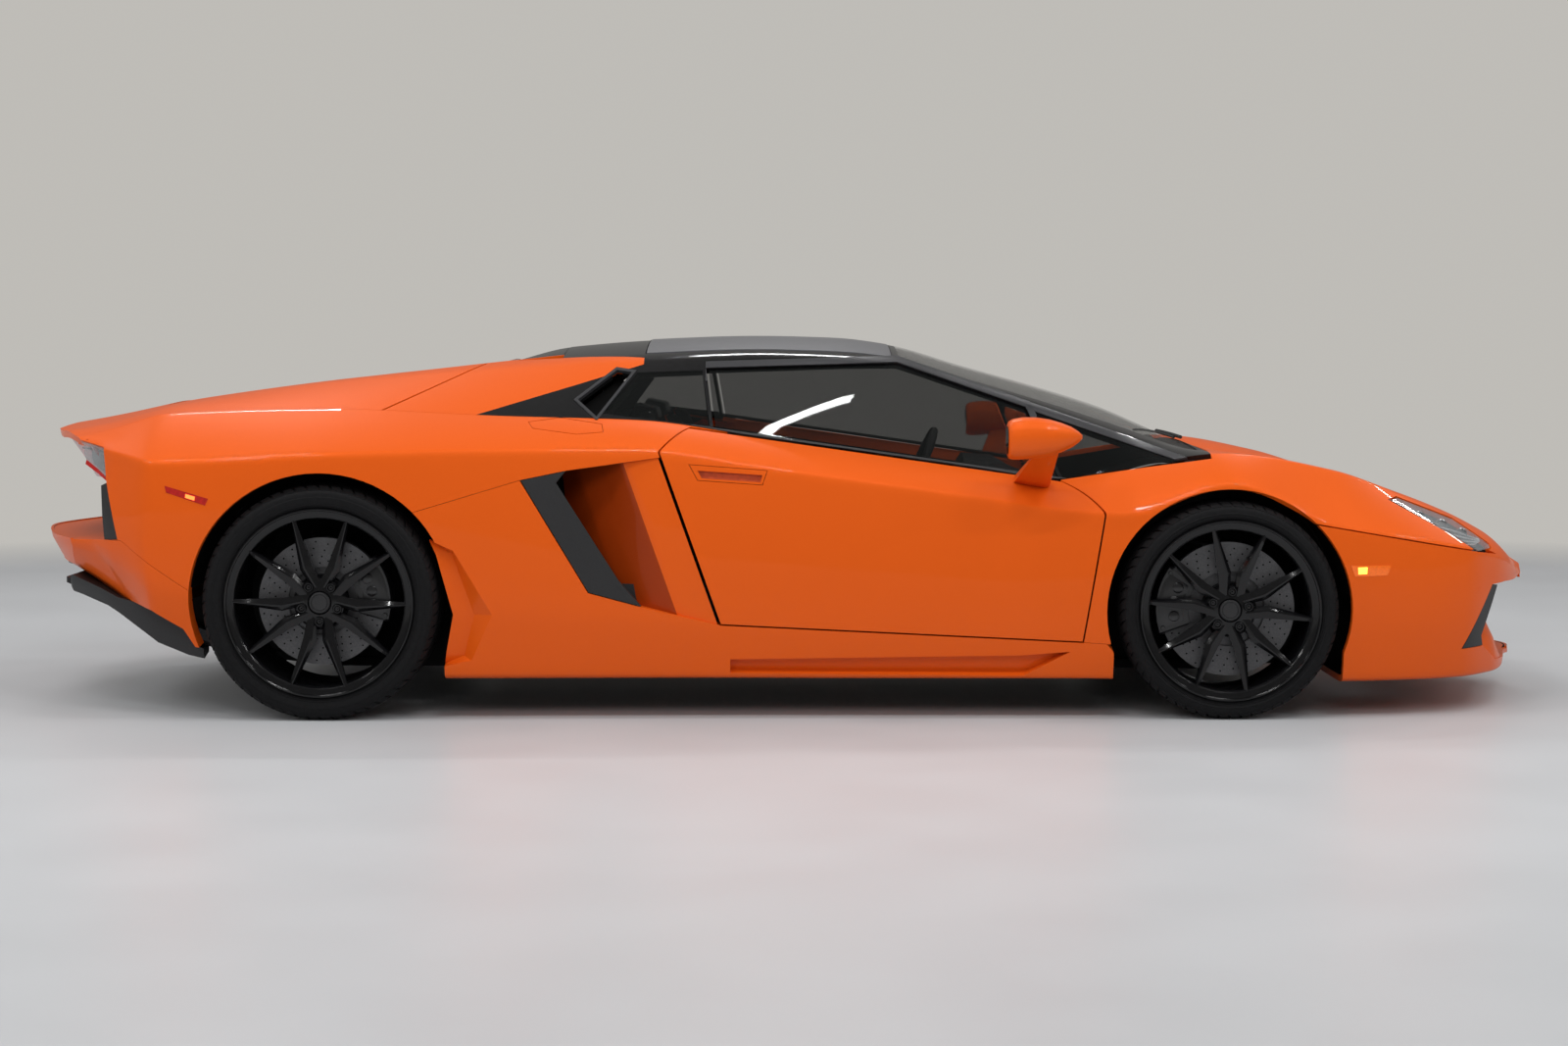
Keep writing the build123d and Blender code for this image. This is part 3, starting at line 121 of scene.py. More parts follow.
PAINT = look("paint", (0.66, 0.084, 0.004), 0.42, 0.12, coat=0.26, coat_rough=0.02, spec=0.10,
                      second=(0.74, 0.112, 0.007), scale=2600)
# Paint darkened into painted shade, for the deep rear of each intake duct.
PAINT_PAINTED_SHADE = look("paint_painted_shade", (0.26, 0.026, 0.002), 0.42, 0.12, coat=0.2, coat_rough=0.03, spec=0.10,
                           second=(0.36, 0.045, 0.003), scale=2600)
GLOSS = look("gloss_black", (0.006, 0.006, 0.0065), 0.14, coat=0.3, vary=0.3, scale=60, spec=0.4)
SATIN = look("satin_black", (0.017, 0.017, 0.018), 0.46, vary=0.3, scale=300, bump=0.06, spec=0.4)
TRIM = look("trim_grey", (0.030, 0.030, 0.033), 0.38, 0.2, vary=0.3, scale=300)
PLASTIC = look("black_plastic", (0.012, 0.012, 0.013), 0.6, vary=0.4, scale=500, bump=0.15, spec=0.3)
ROOF = look("roof_grey", (0.16, 0.16, 0.172), 0.36, 0.4, coat=0.4, coat_rough=0.15, vary=0.25, scale=900)
GLASS = look("tinted_glass", (0.004, 0.005, 0.005), 0.02, alpha=0.46, vary=0.1, scale=5)
SCREEN = look("screen_glass", (0.010, 0.012, 0.012), 0.02, alpha=0.30, vary=0.1, scale=5)
LENS = look("lamp_lens", (0.30, 0.32, 0.33), 0.04, coat=0.5, coat_rough=0.01, alpha=0.35, vary=0.1, scale=30)
REFLECTOR = look("reflector", (0.45, 0.46, 0.47), 0.22, 0.9, vary=0.2, scale=120)
LAMP_GREY = look("lamp_grey", (0.24, 0.25, 0.26), 0.35, 0.3, vary=0.2, scale=90)
LAMP_WHITE = look("lamp_white", (0.75, 0.77, 0.78), 0.25, vary=0.1, scale=90)
MIRROR_GLASS = look("mirror_glass", (0.75, 0.76, 0.77), 0.03, 1.0, vary=0.05, scale=10)
RED = look("red_lens", (0.33, 0.008, 0.006), 0.08, coat=0.6, vary=0.4, scale=160)
RED_LIT = look("red_marker", (0.7, 0.03, 0.01), 0.2, vary=0.2, scale=200, emit=(1, 0.16, 0.03), strength=3.0)
AMBER = look("amber_lens", (0.78, 0.13, 0.006), 0.10, coat=0.6, vary=0.2, scale=200)
AMBER_LIT = look("amber_marker", (0.9, 0.45, 0.03), 0.2, vary=0.2, scale=200, emit=(1, 0.50, 0.05),
                          strength=3.0)
RUBBER = look("tyre_rubber", (0.0045, 0.0045, 0.0050), 0.68, vary=0.5, scale=90, bump=0.2, bump_scale=1400,
                       spec=0.18)
WHEEL = look("wheel_black", (0.0035, 0.0035, 0.004), 0.14, coat=0.2, coat_rough=0.03, spec=0.3,
                      vary=0.3, scale=80)
DISC = look("disc_iron", (0.115, 0.115, 0.120), 0.42, 0.7, vary=0.3, scale=260, bump=0.08, bump_scale=500,
                     spec=0.4)
# Near black for the insides of openings and holes: painted shade where the light doesn't reach.
HOLE = look("dark_hole", (0.003, 0.003, 0.003), 0.9, vary=0.2, spec=0.1)
CALIPER = look("caliper_black", (0.010, 0.010, 0.011), 0.30, coat=0.3, vary=0.2, scale=100)
FRAME_METAL = look("frame_metal", (0.03, 0.03, 0.032), 0.45, 0.4, vary=0.3, scale=150)
EXHAUST = look("exhaust_metal", (0.16, 0.155, 0.15), 0.34, 0.9, vary=0.3, scale=200)
LEATHER = look("leather", (0.014, 0.013, 0.013), 0.55, vary=0.5, scale=60, bump=0.35, bump_scale=700, spec=0.4)
# Orange leather for the seats' piping; also the darker orange of the door handle's cup, painted shade in that recess.
ACCENT_AND_PAINTED_SHADE = look("leather_orange_and_painted_shade", (0.42, 0.06, 0.01), 0.5, vary=0.3, scale=60, bump=0.3, bump_scale=700)
CABIN = look("cabin_dark", (0.012, 0.012, 0.013), 0.6, vary=0.4, scale=200, bump=0.15, spec=0.4)
LINER = look("liner", (0.006, 0.006, 0.006), 0.85, vary=0.5, scale=40, bump=0.3, bump_scale=200, spec=0.2)
ALLOY = look("engine_alloy", (0.20, 0.20, 0.21), 0.45, 0.7, vary=0.3, scale=120, bump=0.2)

SLOT_LOOK = {
    "paint": PAINT, "black_trim": SATIN, "cabin_dark": CABIN, "gloss_black": GLOSS, "roof_grey": ROOF,
    "tinted_glass": GLASS, "lamp_clear": LENS, "lamp_red": RED, "exhaust_metal": EXHAUST, "seat_leather": LEATHER,
    "engine_alloy": ALLOY, "frame_metal": FRAME_METAL, "tyre": RUBBER, "wheel_black": WHEEL, "disc_iron": DISC,
    "caliper_black": CALIPER,
}
NODE_SLOT = {s["node"]: s.get("material_slot", s["node"]) for s in frame["record"]["subparts"]}
for node, obj in frame["nodes"].items():
    obj.data.materials.clear()
    obj.data.materials.append(LINER if node in ("arch_liners", "underfloor") else SLOT_LOOK[NODE_SLOT[node]])

# ------------------------------------------------------------------ body surface
# In mm: x, z_floor, y_sill, y_low, z_low, y_waist, z_waist, y_belt, z_belt, y_top, z_top, z_crown
ROWS = (
    (2390, 112, 100, 150, 200, 170, 360, 140, 390, 70, 396, 398),
    (2280, 108, 440, 480, 230, 500, 415, 430, 448, 260, 462, 470),
    (2150, 106, 680, 720, 260, 740, 472, 640, 520, 420, 540, 548),
    (2040, 104, 800, 850, 270, 862, 502, 700, 580, 460, 592, 598),
    (1860, 103, 880, 925, 280, 925, 540, 740, 658, 500, 655, 660),
    (1640, 102, 915, 955, 290, 955, 572, 800, 736, 540, 710, 716),
    (1315, 108, 920, 968, 300, 975, 700, 840, 787, 580, 770, 782),
    (1000, 112, 930, 965, 232, 955, 612, 800, 738, 670, 852, 912),
    (830, 114, 935, 965, 236, 950, 622, 800, 706, 652, 908, 966),
    (560, 114, 935, 965, 246, 945, 660, 800, 741, 615, 992, 1042),
    (335, 114, 935, 965, 256, 945, 692, 805, 773, 585, 1060, 1106),
    (150, 114, 935, 965, 264, 945, 717, 807, 800, 576, 1078, 1129),
    (-100, 115, 935, 965, 275, 945, 752, 810, 835, 560, 1086, 1135),
    (-440, 115, 940, 975, 300, 950, 798, 812, 884, 550, 1074, 1124),
    (-860, 115, 955, 990, 330, 975, 800, 790, 897, 500, 1045, 1086),
    (-1385, 118, 965, 1005, 360, 1008, 790, 760, 918, 460, 1000, 1012),
    (-1860, 165, 900, 985, 390, 985, 768, 740, 905, 480, 932, 946),
    (-2200, 330, 800, 870, 470, 870, 790, 720, 856, 500, 870, 880),
    (-2390, 440, 640, 740, 505, 760, 808, 700, 834, 500, 844, 848),
)
TABLE = np.array(sorted(ROWS), dtype=float)
BULGE = (0, 3, 9, 7, 7)            # of each side edge, mm at its middle
ROUND = (0, 0.10, 0.10, 0.05, 0.05, 0.10)   # how far each crease's rounding reaches, in u


def slopes(xs, ys):
    """Monotone slopes at the rows, so that the surface doesn't overshoot between them."""
    step = np.diff(xs)
    rate = np.diff(ys) / step
    out = np.zeros(len(xs))
    out[0], out[-1] = rate[0], rate[-1]
    for i in range(1, len(xs) - 1):
        if rate[i - 1] * rate[i] > 0:
            w1, w2 = 2 * step[i] + step[i - 1], step[i] + 2 * step[i - 1]
            out[i] = (w1 + w2) / (w1 / rate[i - 1] + w2 / rate[i])
    return out


SLOPES = np.array([slopes(TABLE[:, 0], TABLE[:, k]) for k in range(1, 12)])


def row_at(x):
    """The table's eleven values at x, by cubic interpolation between its rows."""
    xs = TABLE[:, 0]
    i = int(np.clip(np.searchsorted(xs, x) - 1, 0, len(xs) - 2))
    h = xs[i + 1] - xs[i]
    t = (x - xs[i]) / h
    a, b = TABLE[i, 1:], TABLE[i + 1, 1:]
    ma, mb = SLOPES[:, i] * h, SLOPES[:, i + 1] * h
    return ((2 * t ** 3 - 3 * t ** 2 + 1) * a + (t ** 3 - 2 * t ** 2 + t) * ma
            + (-2 * t ** 3 + 3 * t ** 2) * b + (t ** 3 - t ** 2) * mb)


def section_points(x):
    r = row_at(x)
    return np.array([(0, r[0]), (r[1], r[0]), (r[2], r[3]), (r[4], r[5]), (r[6], r[7]), (r[8], r[9]), (0, r[10])])


def on_edge(points, edge, t):
    """A point of one edge of the section, with its bulge."""
    a, b = points[edge], points[edge + 1]
    if edge == 5:
        return np.array((a[0] * (1 - t), b[1] - (b[1] - a[1]) * (1 - t) ** 2))
    along = b - a
    length = hypot(*along) or 1
    normal = np.array((along[1], -along[0])) / length
    return a + along * t + normal * BULGE[edge] * 4 * t * (1 - t)


def surface(x, u, points=None):
    """The body's surface: u counts the section's corners, from the floor's middle to the crown."""
    points = section_points(x) if points is None else points
    u = min(max(u, 0), 6)
    corner = int(round(u))
    reach = ROUND[corner] if 0 < corner < 6 else 0
    if reach and abs(u - corner) < reach:
        s = (u - corner + reach) / (2 * reach)
        a, b = on_edge(points, corner - 1, 1 - reach), on_edge(points, corner, reach)
        y, z = (1 - s) ** 2 * a + 2 * s * (1 - s) * points[corner] + s * s * b
    else:
        edge = min(int(u), 5)
        y, z = on_edge(points, edge, u - edge)
    return x, y, z


def u_list(u0, u1, step=0.09):
    """Parameters from u0 to u1, closer together round each crease."""
    us = {round(u0, 4), round(u1, 4)}
    for k in range(0, 7):
        r = ROUND[k] if k < 6 else 0
        for f in (-1, -0.6, -0.3, 0, 0.3, 0.6, 1):
            us.add(round(k + f * r, 4))
        if k < 6:
            inner = 1 - r - (ROUND[k + 1] if k < 5 else 0)
            n = max(2, int(round(inner / step)))
            us.update(round(k + r + inner * i / n, 4) for i in range(n + 1))
    return [u for u in sorted(us) if u0 - 1e-6 <= u <= u1 + 1e-6]


def grid(x0, x1, u0, u1, dx=16, both=False):
    """A patch of the surface as vertices and quads, in mm."""
    n = max(2, int(round((x1 - x0) / dx)))
    xs = np.linspace(x0, x1, n + 1)
    us = u_list(u0, u1)
    verts = []
    for x in xs:
        points = section_points(x)
        half = [surface(x, u, points) for u in us]
        if both:
            half += [(p[0], -p[1], p[2]) for p in reversed(half[:-1])]
        verts += half
    width = len(verts) // len(xs)
    faces = []
    for i in range(len(xs) - 1):
        for j in range(width - 1):
            a = i * width + j
            faces.append((a, a + 1, a + width + 1, a + width))
    return verts, faces


def clamp(t):
    return min(max(t, 0), 1)


def ease(t):
    """From 0 to 1, level at both ends."""
    t = clamp(t)
    return t * t * (3 - 2 * t)


SWEEP_FROM, SWEEP_OVER = -1810, 580          # where the tail's bow starts, and how far it grows
TIP_FROM, TIP_OVER = 2150, 240               # the same for the nose


def tail_shape(x, y, z):
    """The tail's corners swept forward in plan, its upper edge ahead of the bumper, the bumper leaning."""
    t = clamp((SWEEP_FROM - x) / SWEEP_OVER)
    t = (2 * t * t if t < 0.25 else t - 0.125) / 0.875
    high = clamp((z - 600) / 150)
    sweep = 0.24 * (hypot(y, 120) - 120) + 70 * (min(abs(y), 800) / 760) ** 4
    return x + t * (sweep + 34 * high + 0.55 * max(0, 515 - z)), y, z


def nose_shape(x, y, z):
    """The nose's tip and the lip below it, rounded in plan."""
    t = ease((x - TIP_FROM) / TIP_OVER)
    low = clamp((300 - z) / 150)
    return x - t * (30 * (1 - exp(-(y / 110) ** 2)) + 34 * low), y, z


AXES = {"side": (0, 2), "top": (0, 1), "front": (1, 2)}


def inside(poly, p, q):
    """Whether the point (p, q) is inside the polygon."""
    hit = False
    for (a, b), (c, d) in zip(poly, poly[1:] + poly[:1]):
        if (b > q) != (d > q) and p < (c - a) * (q - b) / (d - b) + a:
            hit = not hit
    return hit


def score(bm, poly, view):
    """Cuts edges into the mesh along a polygon that is seen from one side."""
    i, j = AXES[view]
    for a, b in zip(poly, poly[1:] + poly[:1]):
        lo = (min(a[0], b[0]) - 1, min(a[1], b[1]) - 1)
        hi = (max(a[0], b[0]) + 1, max(a[1], b[1]) + 1)
        near = []
        for f in bm.faces:
            ps = [v.co[i] for v in f.verts]
            qs = [v.co[j] for v in f.verts]
            if min(ps) <= hi[0] and max(ps) >= lo[0] and min(qs) <= hi[1] and max(qs) >= lo[1]:
                near.append(f)
        if not near:
            continue
        normal = [0.0, 0.0, 0.0]
        normal[i], normal[j] = b[1] - a[1], a[0] - b[0]
        point = [0.0, 0.0, 0.0]
        point[i], point[j] = a
        geom = set(near)
        for f in near:
            geom.update(f.edges)
            geom.update(f.verts)
        bmesh.ops.bisect_plane(bm, geom=list(geom), plane_co=point, plane_no=Vector(normal).normalized(), dist=0.01)


def trim(bm, regions, keep):
    """Keeps, or cuts away, what lies inside all of these (view, polygon) regions."""
    for view, poly in regions:
        score(bm, poly, view)
    gone = []
    for f in bm.faces:
        c = f.calc_center_median()
        if all(inside(poly, c[AXES[view][0]], c[AXES[view][1]]) for view, poly in regions) != keep:
            gone.append(f)
    bmesh.ops.delete(bm, geom=gone, context="FACES")


def mirror_y(data):
    verts, faces, normals = data
    flipped = [tuple(reversed(f)) for f in faces]
    out_normals = []
    start = 0
    for f in faces:
        part = normals[start:start + len(f)]
        out_normals += [(n[0], -n[1], n[2]) for n in reversed(part)]
        start += len(f)
    return [(v[0], -v[1], v[2]) for v in verts], flipped, out_normals


def skin(x0, x1, u0, u1, keep=(), cut=(), both=False, thick=20.0, lift=0.0, dx=16, shape=None):
    """A panel: a patch of the surface trimmed by polygons, with thickness and true normals."""
    verts, faces = grid(x0, x1, u0, u1, dx, both)
    if shape:
        verts = [shape(*v) for v in verts]
    vecs = [Vector(v) for v in verts]
    tree = BVHTree.FromPolygons(vecs, faces)
    smooth = [Vector() for _ in vecs]
    for f in faces:
        a, b, c, d = (vecs[k] for k in f)
        n = (c - a).cross(d - b)
        for k in f:
            smooth[k] += n
    outward = Vector((0, 0, 0))
    for k, n in enumerate(smooth):
        n.normalize()
        outward += Vector((0, n.y * (1 if vecs[k].y >= 0 else -1), n.z))
    flip = (outward.y + outward.z) < 0
    if u1 < 1.5:
        flip = smooth[len(vecs) // 2].z > 0
    if flip:
        smooth = [-n for n in smooth]
    bm = bmesh.new()
    made = [bm.verts.new(v) for v in verts]
    for f in faces:
        ring = tuple(reversed(f)) if flip else f
        if len({tuple(verts[k]) for k in ring}) == 4:
            bm.faces.new([made[k] for k in ring])
    for region in keep:
        trim(bm, [region], True)
    for region in cut:
        trim(bm, region if isinstance(region, list) else [region], False)
    loose = [v for v in bm.verts if not v.link_faces]
    bmesh.ops.delete(bm, geom=loose, context="VERTS")
    bm.verts.index_update()
    normals = []
    for v in bm.verts:
        spot, _, face, _ = tree.find_nearest(v.co)
        corners = [vecs[k] for k in faces[face]]
        weights = poly_3d_calc(corners, spot)
        n = Vector()
        for w, k in zip(weights, faces[face]):
            n += smooth[k] * w
        normals.append(n.normalized())
    count = len(bm.verts)
    out = [v.co + normals[v.index] * lift for v in bm.verts]
    out += [v.co + normals[v.index] * (lift - thick) for v in bm.verts]
    rings, loop_normals = [], []
    for f in bm.faces:
        ring = [v.index for v in f.verts]
        rings.append(tuple(ring))
        loop_normals += [tuple(normals[k]) for k in ring]
    for f in bm.faces:
        ring = [v.index for v in reversed(f.verts)]
        rings.append(tuple(k + count for k in ring))
        loop_normals += [tuple(-normals[k]) for k in ring]
    for e in bm.edges:
        if len(e.link_faces) == 1:
            loop = e.link_loops[0]
            a, b = loop.vert.index, loop.link_loop_next.vert.index
            n = (out[a] - out[b]).cross(normals[a]).normalized()
            n = -n if thick > 0 else n
            rings.append((b, a, a + count, b + count))
            loop_normals += [tuple(n)] * 4
    bm.free()
    return [tuple(v) for v in out], rings, loop_normals


def add_object(name, mesh, mat, node, body):
    """Puts a mesh on its body and in place of a node."""
    mesh.materials.append(mat)
    obj = bpy.data.objects.new(name, mesh)
    bpy.context.collection.objects.link(obj)
    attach(obj, body)
    if node:
        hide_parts(node)
    return obj


def piece(name, datas, mat, node=None, body="body", back=None):
    """One object from panel data sets in mm, with their own normals and, if named, a back of its own."""
    behind = []
    verts, faces, normals = [], [], []
    for vs, fs, ns in datas:
        base = len(verts)
        verts += [(x * MM, y * MM, z * MM) for x, y, z in vs]
        faces += [tuple(k + base for k in f) for f in fs]
        behind += [min(f) >= len(vs) // 2 for f in fs]
        normals += ns
    mesh = bpy.data.meshes.new(name)
    mesh.from_pydata(verts, [], faces)
    mesh.polygons.foreach_set("use_smooth", [True] * len(faces))
    mesh.normals_split_custom_set(normals)
    obj = add_object(name, mesh, mat, node, body)
    if back:
        mesh.materials.append(back)
        mesh.polygons.foreach_set("material_index", [int(b) for b in behind])
    return obj


def plain(name, shape, mat, node=None, body="body", angle=35, mirror=False):
    """One object from (vertices, faces) in mm, smooth where it bends gently, with its mirror image if asked."""
    verts, faces = shape
    verts, faces = [tuple(v) for v in verts], list(faces)
    if mirror:
        count = len(verts)
        verts += [(x, -y, z) for x, y, z in verts]
        faces += [tuple(k + count for k in reversed(f)) for f in faces]
    mesh = bpy.data.meshes.new(name)
    mesh.from_pydata([(x * MM, y * MM, z * MM) for x, y, z in verts], [], [tuple(f) for f in faces])
    mesh.polygons.foreach_set("use_smooth", [True] * len(mesh.polygons))
    mesh.set_sharp_from_angle(angle=radians(angle))
    return add_object(name, mesh, mat, node, body)


def joined(*parts):
    """Several (vertices, faces) sets as one."""
    verts, faces = [], []
    for vs, fs in parts:
        base = len(verts)
        verts += [tuple(v) for v in vs]
        faces += [tuple(k + base for k in f) for f in fs]
    return verts, faces


def moved(shape, by):
    verts, faces = shape
    return [tuple(a + b for a, b in zip(v, by)) for v in verts], faces


def loft(rings, closed=True, caps=True):
    """Quads between rings of equal length."""
    n = len(rings[0])
    verts = [p for ring in rings for p in ring]
    faces = []
    last = n if closed else n - 1
    for i in range(len(rings) - 1):
        for j in range(last):
            k = (j + 1) % n
            faces.append((i * n + j, i * n + k, (i + 1) * n + k, (i + 1) * n + j))
    if caps and closed:
        faces.append(tuple(reversed(range(n))))
        faces.append(tuple(range((len(rings) - 1) * n, len(rings) * n)))
    return verts, faces


def lathe(profile, segments=96, centre=(0, 0, 0), closed=True):
    """A (radius, across) profile turned about +Y."""
    rings = []
    for s in range(segments):
        a = TAU * s / segments
        rings.append([(centre[0] + r * cos(a), centre[1] + y, centre[2] + r * sin(a)) for r, y in profile])
    n = len(profile)
    verts = [p for ring in rings for p in ring]
    faces = []
    last = n if closed else n - 1
    for i in range(segments):
        for j in range(last):
            k, m = (j + 1) % n, (i + 1) % segments
            faces.append((i * n + j, i * n + k, m * n + k, m * n + j))
    return verts, faces


def tube(path, radius, sides=10):
    """A round bar along a list of points."""
    pts = [Vector(p) for p in path]
    rings = []
    for i, p in enumerate(pts):
        along = (pts[min(i + 1, len(pts) - 1)] - pts[max(i - 1, 0)]).normalized()
        side = along.cross(Vector((0, 0, 1)))
        side = side.normalized() if side.length > 0.01 else Vector((0, 1, 0))
        up = side.cross(along)
        rings.append([tuple(p + (side * cos(TAU * k / sides) + up * sin(TAU * k / sides)) * radius)
                      for k in range(sides)])
    return loft(rings)


def grow(poly, by):
    """The polygon moved outward by this much."""
    area = sum(a[0] * b[1] - b[0] * a[1] for a, b in zip(poly, poly[1:] + poly[:1]))
    sign = 1 if area > 0 else -1
    out = []
    n = len(poly)
    for i in range(n):
        a, b, c = Vector(poly[i - 1]), Vector(poly[i]), Vector(poly[(i + 1) % n])
        d1, d2 = (b - a).normalized(), (c - b).normalized()
        n1, n2 = Vector((d1.y, -d1.x)) * sign, Vector((d2.y, -d2.x)) * sign
        bis = n1 + n2
        bis = bis.normalized() if bis.length > 1e-6 else n1
        reach = by / max(0.35, bis.dot(n1))
        out.append(tuple(b + bis * reach))
    return out


def flank(poly, by=0):
    """The region inside a polygon, grown by this much, as seen from the side."""
    return "side", grow(poly, by) if by else poly


def plan(poly, by=0):
    """The same, as seen from above."""
    return "top", grow(poly, by) if by else poly


def both_ways(points):
    return points + [(x, -y) for x, y in reversed(points)]


def circle(cx, cz, r, a0=-20, a1=200, n=44):
    """An arch opening: an arc closed well below the sill."""
    pts = [(cx + r * cos(radians(a0 + (a1 - a0) * k / n)),
            cz + r * sin(radians(a0 + (a1 - a0) * k / n))) for k in range(n + 1)]
    return pts + [(pts[-1][0], -50), (pts[0][0], -50)]


# ------------------------------------------------------------------ shut lines, (x, z) from the side
DOOR_REAR_TOP, DOOR_REAR_LOW = (-382, 795), (-199, 282)
DOOR_FRONT_LOW, DOOR_FRONT_TOP = (879, 230), (944, 603)
BELT_REAR, BELT_FRONT = (-217, 852), (817, 704)
FRONT_ARCH = circle(FRONT_X, 320, 366)
REAR_ARCH = circle(REAR_X, 345, 390)
BLADE = [(-791, 713), (-654, 741), (-431, 336), (-590, 379)]
INTAKE = [(-654, 741), (-378, 779), (-180, 276), (-431, 336)]
BLADE_FACE = [(-791, 713), (-654, 741), (-683, 705), (-500, 416), (-431, 336), (-590, 379)]
SKIRT = [(-1200, 90), (-1200, 591), (-1109, 618), (-791, 713), (-590, 379), (-431, 336),
         DOOR_REAR_LOW, DOOR_FRONT_LOW, (951, 225), (1060, 90)]
BUMPER = [(-2430, 528), (-1987, 530), (-1792, 399), (-1690, 340), (-1690, 60), (-2430, 60)]
TAIL_RECESS = [(-2450, 840), (-2160, 829), (-2055, 804), (-2043, 710), (-1999, 531), (-2225, 520), (-2450, 528)]
TAIL_TOP = [(-2450, 560), (-2300, 560), (-2300, 1300), (-2450, 1300)]
NOTCH = [(2140, 386), (2030, 197), (2112, 200), (2170, 150), (2320, 127), (2430, 127), (2430, 368), (2200, 388)]
LAMP = [(1816, 646), (1842, 652), (2022, 584), (2136, 506), (2138, 494), (2078, 492), (1990, 548)]
LID = both_ways([(1330, 560), (1645, 500), (2060, 360)])
SCREEN_TOP = both_ways([(345, 510), (1270, 606)])
ROOF_TOP = both_ways([(-440, 500), (325, 520)])
COVER = both_ways([(-700, 380), (-1200, 400), (-1960, 330)])
DOOR_GLASS = [BELT_REAR, (-244, 1034), (336, 1051), (725, 916), BELT_FRONT]
FRONT_PANE = [(739, 911), (831, 708), (1105, 752), (1180, 760)]
REAR_PANE = [(-556, 905), (-459, 1026), (-260, 1033), (-233, 868)]
DOOR_TOP_PLAN = [(-382, 948), (-382, 1200), (944, 1200), (944, 952), (817, 800), (817, 600), (-290, 600), (-290, 815)]
HANDLE = [(-266, 740), (-74, 726), (-80, 705), (-254, 717)]
SILL_RECESS = [(-170, 136), (704, 128), (841, 201), (690, 190), (-170, 178)]
FIN_RECESS = [(-1110, 560), (-988, 505), (-874, 313), (-938, 176), (-1110, 140)]
HANDLE_PLATE = [(-292, 758), (-59, 740), (-74, 697), (-266, 711)]
FUEL_FLAP = [(-777, 881), (-683, 893), (-556, 875), (-550, 852), (-630, 846), (-762, 863)]
VENT = [(-636, 944), (-522, 1033), (-474, 1026), (-574, 893)]
HIGH = 1300        # above everything
GAP = 2.5          # half a shut line


def belt(x):
    """The height of the door window's lower edge."""
    (x0, z0), (x1, z1) = BELT_REAR, BELT_FRONT
    return z0 + (z1 - z0) * (x - x0) / (x1 - x0)


DOOR_SIDE = [DOOR_REAR_TOP, DOOR_REAR_LOW, DOOR_FRONT_LOW, DOOR_FRONT_TOP, (944, belt(944)), (-382, belt(-382))]
DOOR_SPACE = [flank(DOOR_SIDE, GAP), plan(DOOR_TOP_PLAN, GAP)]


def two(data):
    return [data, mirror_y(data)]


BUTTRESS = [(-2450, 560), (-2450, 700), (-2300, 780), (-962, 894), (-634, 992), (-441, 1051), (-441, HIGH),
            (-2450, HIGH)]
HOOP_PLAN = [(-700, -388), (-838, -397), (-842, -404), (-640, -470), (-441, -548),
             (-441, 548), (-640, 470), (-842, 404), (-838, 397), (-700, 388)]
DECK_LINE = [(-1228, 914), (-889, 1079), (-886, 1077), (-1225, 911)]
UNDER_ORANGE = [(-2440, 425), (-2190, 410), (-2025, 351), (-1892, 324), (-1796, 269), (-1763, 214), (-1690, 204),
                (-1690, 60), (-2440, 60)]
LOUVRES, LOUVRE_PITCH, LOUVRE_WIDE = 6, 165, 118


def door_panels():
    seal = [(-290, belt(-290)), (-290, belt(-290) + 9), (840, belt(840) + 9), (840, belt(840))]
    made = (
        ("door_skin", PAINT, "paint", "door", LINER, [
            skin(-400, 960, 1.85, 4.0, keep=[flank(DOOR_SIDE, -GAP), plan(DOOR_TOP_PLAN, -GAP)],
                 cut=[flank(HANDLE_PLATE, 0.8)], thick=40),
            skin(-320, -40, 2.6, 4.0, keep=[flank(HANDLE_PLATE, -0.8)], cut=[flank(HANDLE)], thick=16)]),
        # The handle's cup is a darker orange than the paint: painted shade in the recess.
        ("handle_cup", ACCENT_AND_PAINTED_SHADE, "black_trim", None, None, [
            skin(-300, -50, 2.6, 4.0, keep=[flank(HANDLE, 3)], thick=3, lift=-14)]),
        ("door_pane", GLASS, "tinted_glass", "door_glass", None, [
            skin(-300, 900, 4.0, 5.0, keep=[flank(DOOR_GLASS, -3)], thick=5)]),
        ("door_belt_seal", SATIN, None, None, None, [
            skin(-300, 900, 4.0, 4.4, keep=[flank(seal)], thick=8, lift=2)]),
        ("door_card", LEATHER, None, None, None, [
            skin(-340, 920, 2.1, 3.95, keep=[flank(DOOR_SIDE, -40)], thick=12, lift=-68, dx=30)]))
    for hand in ("left", "right"):
        for name, mat, slot, node, back, datas in made:
            datas = datas if hand == "left" else [mirror_y(data) for data in datas]
            piece(f"{name}_{hand}", datas, mat, node and f"{node}_{hand}", f"door_{hand}", back)


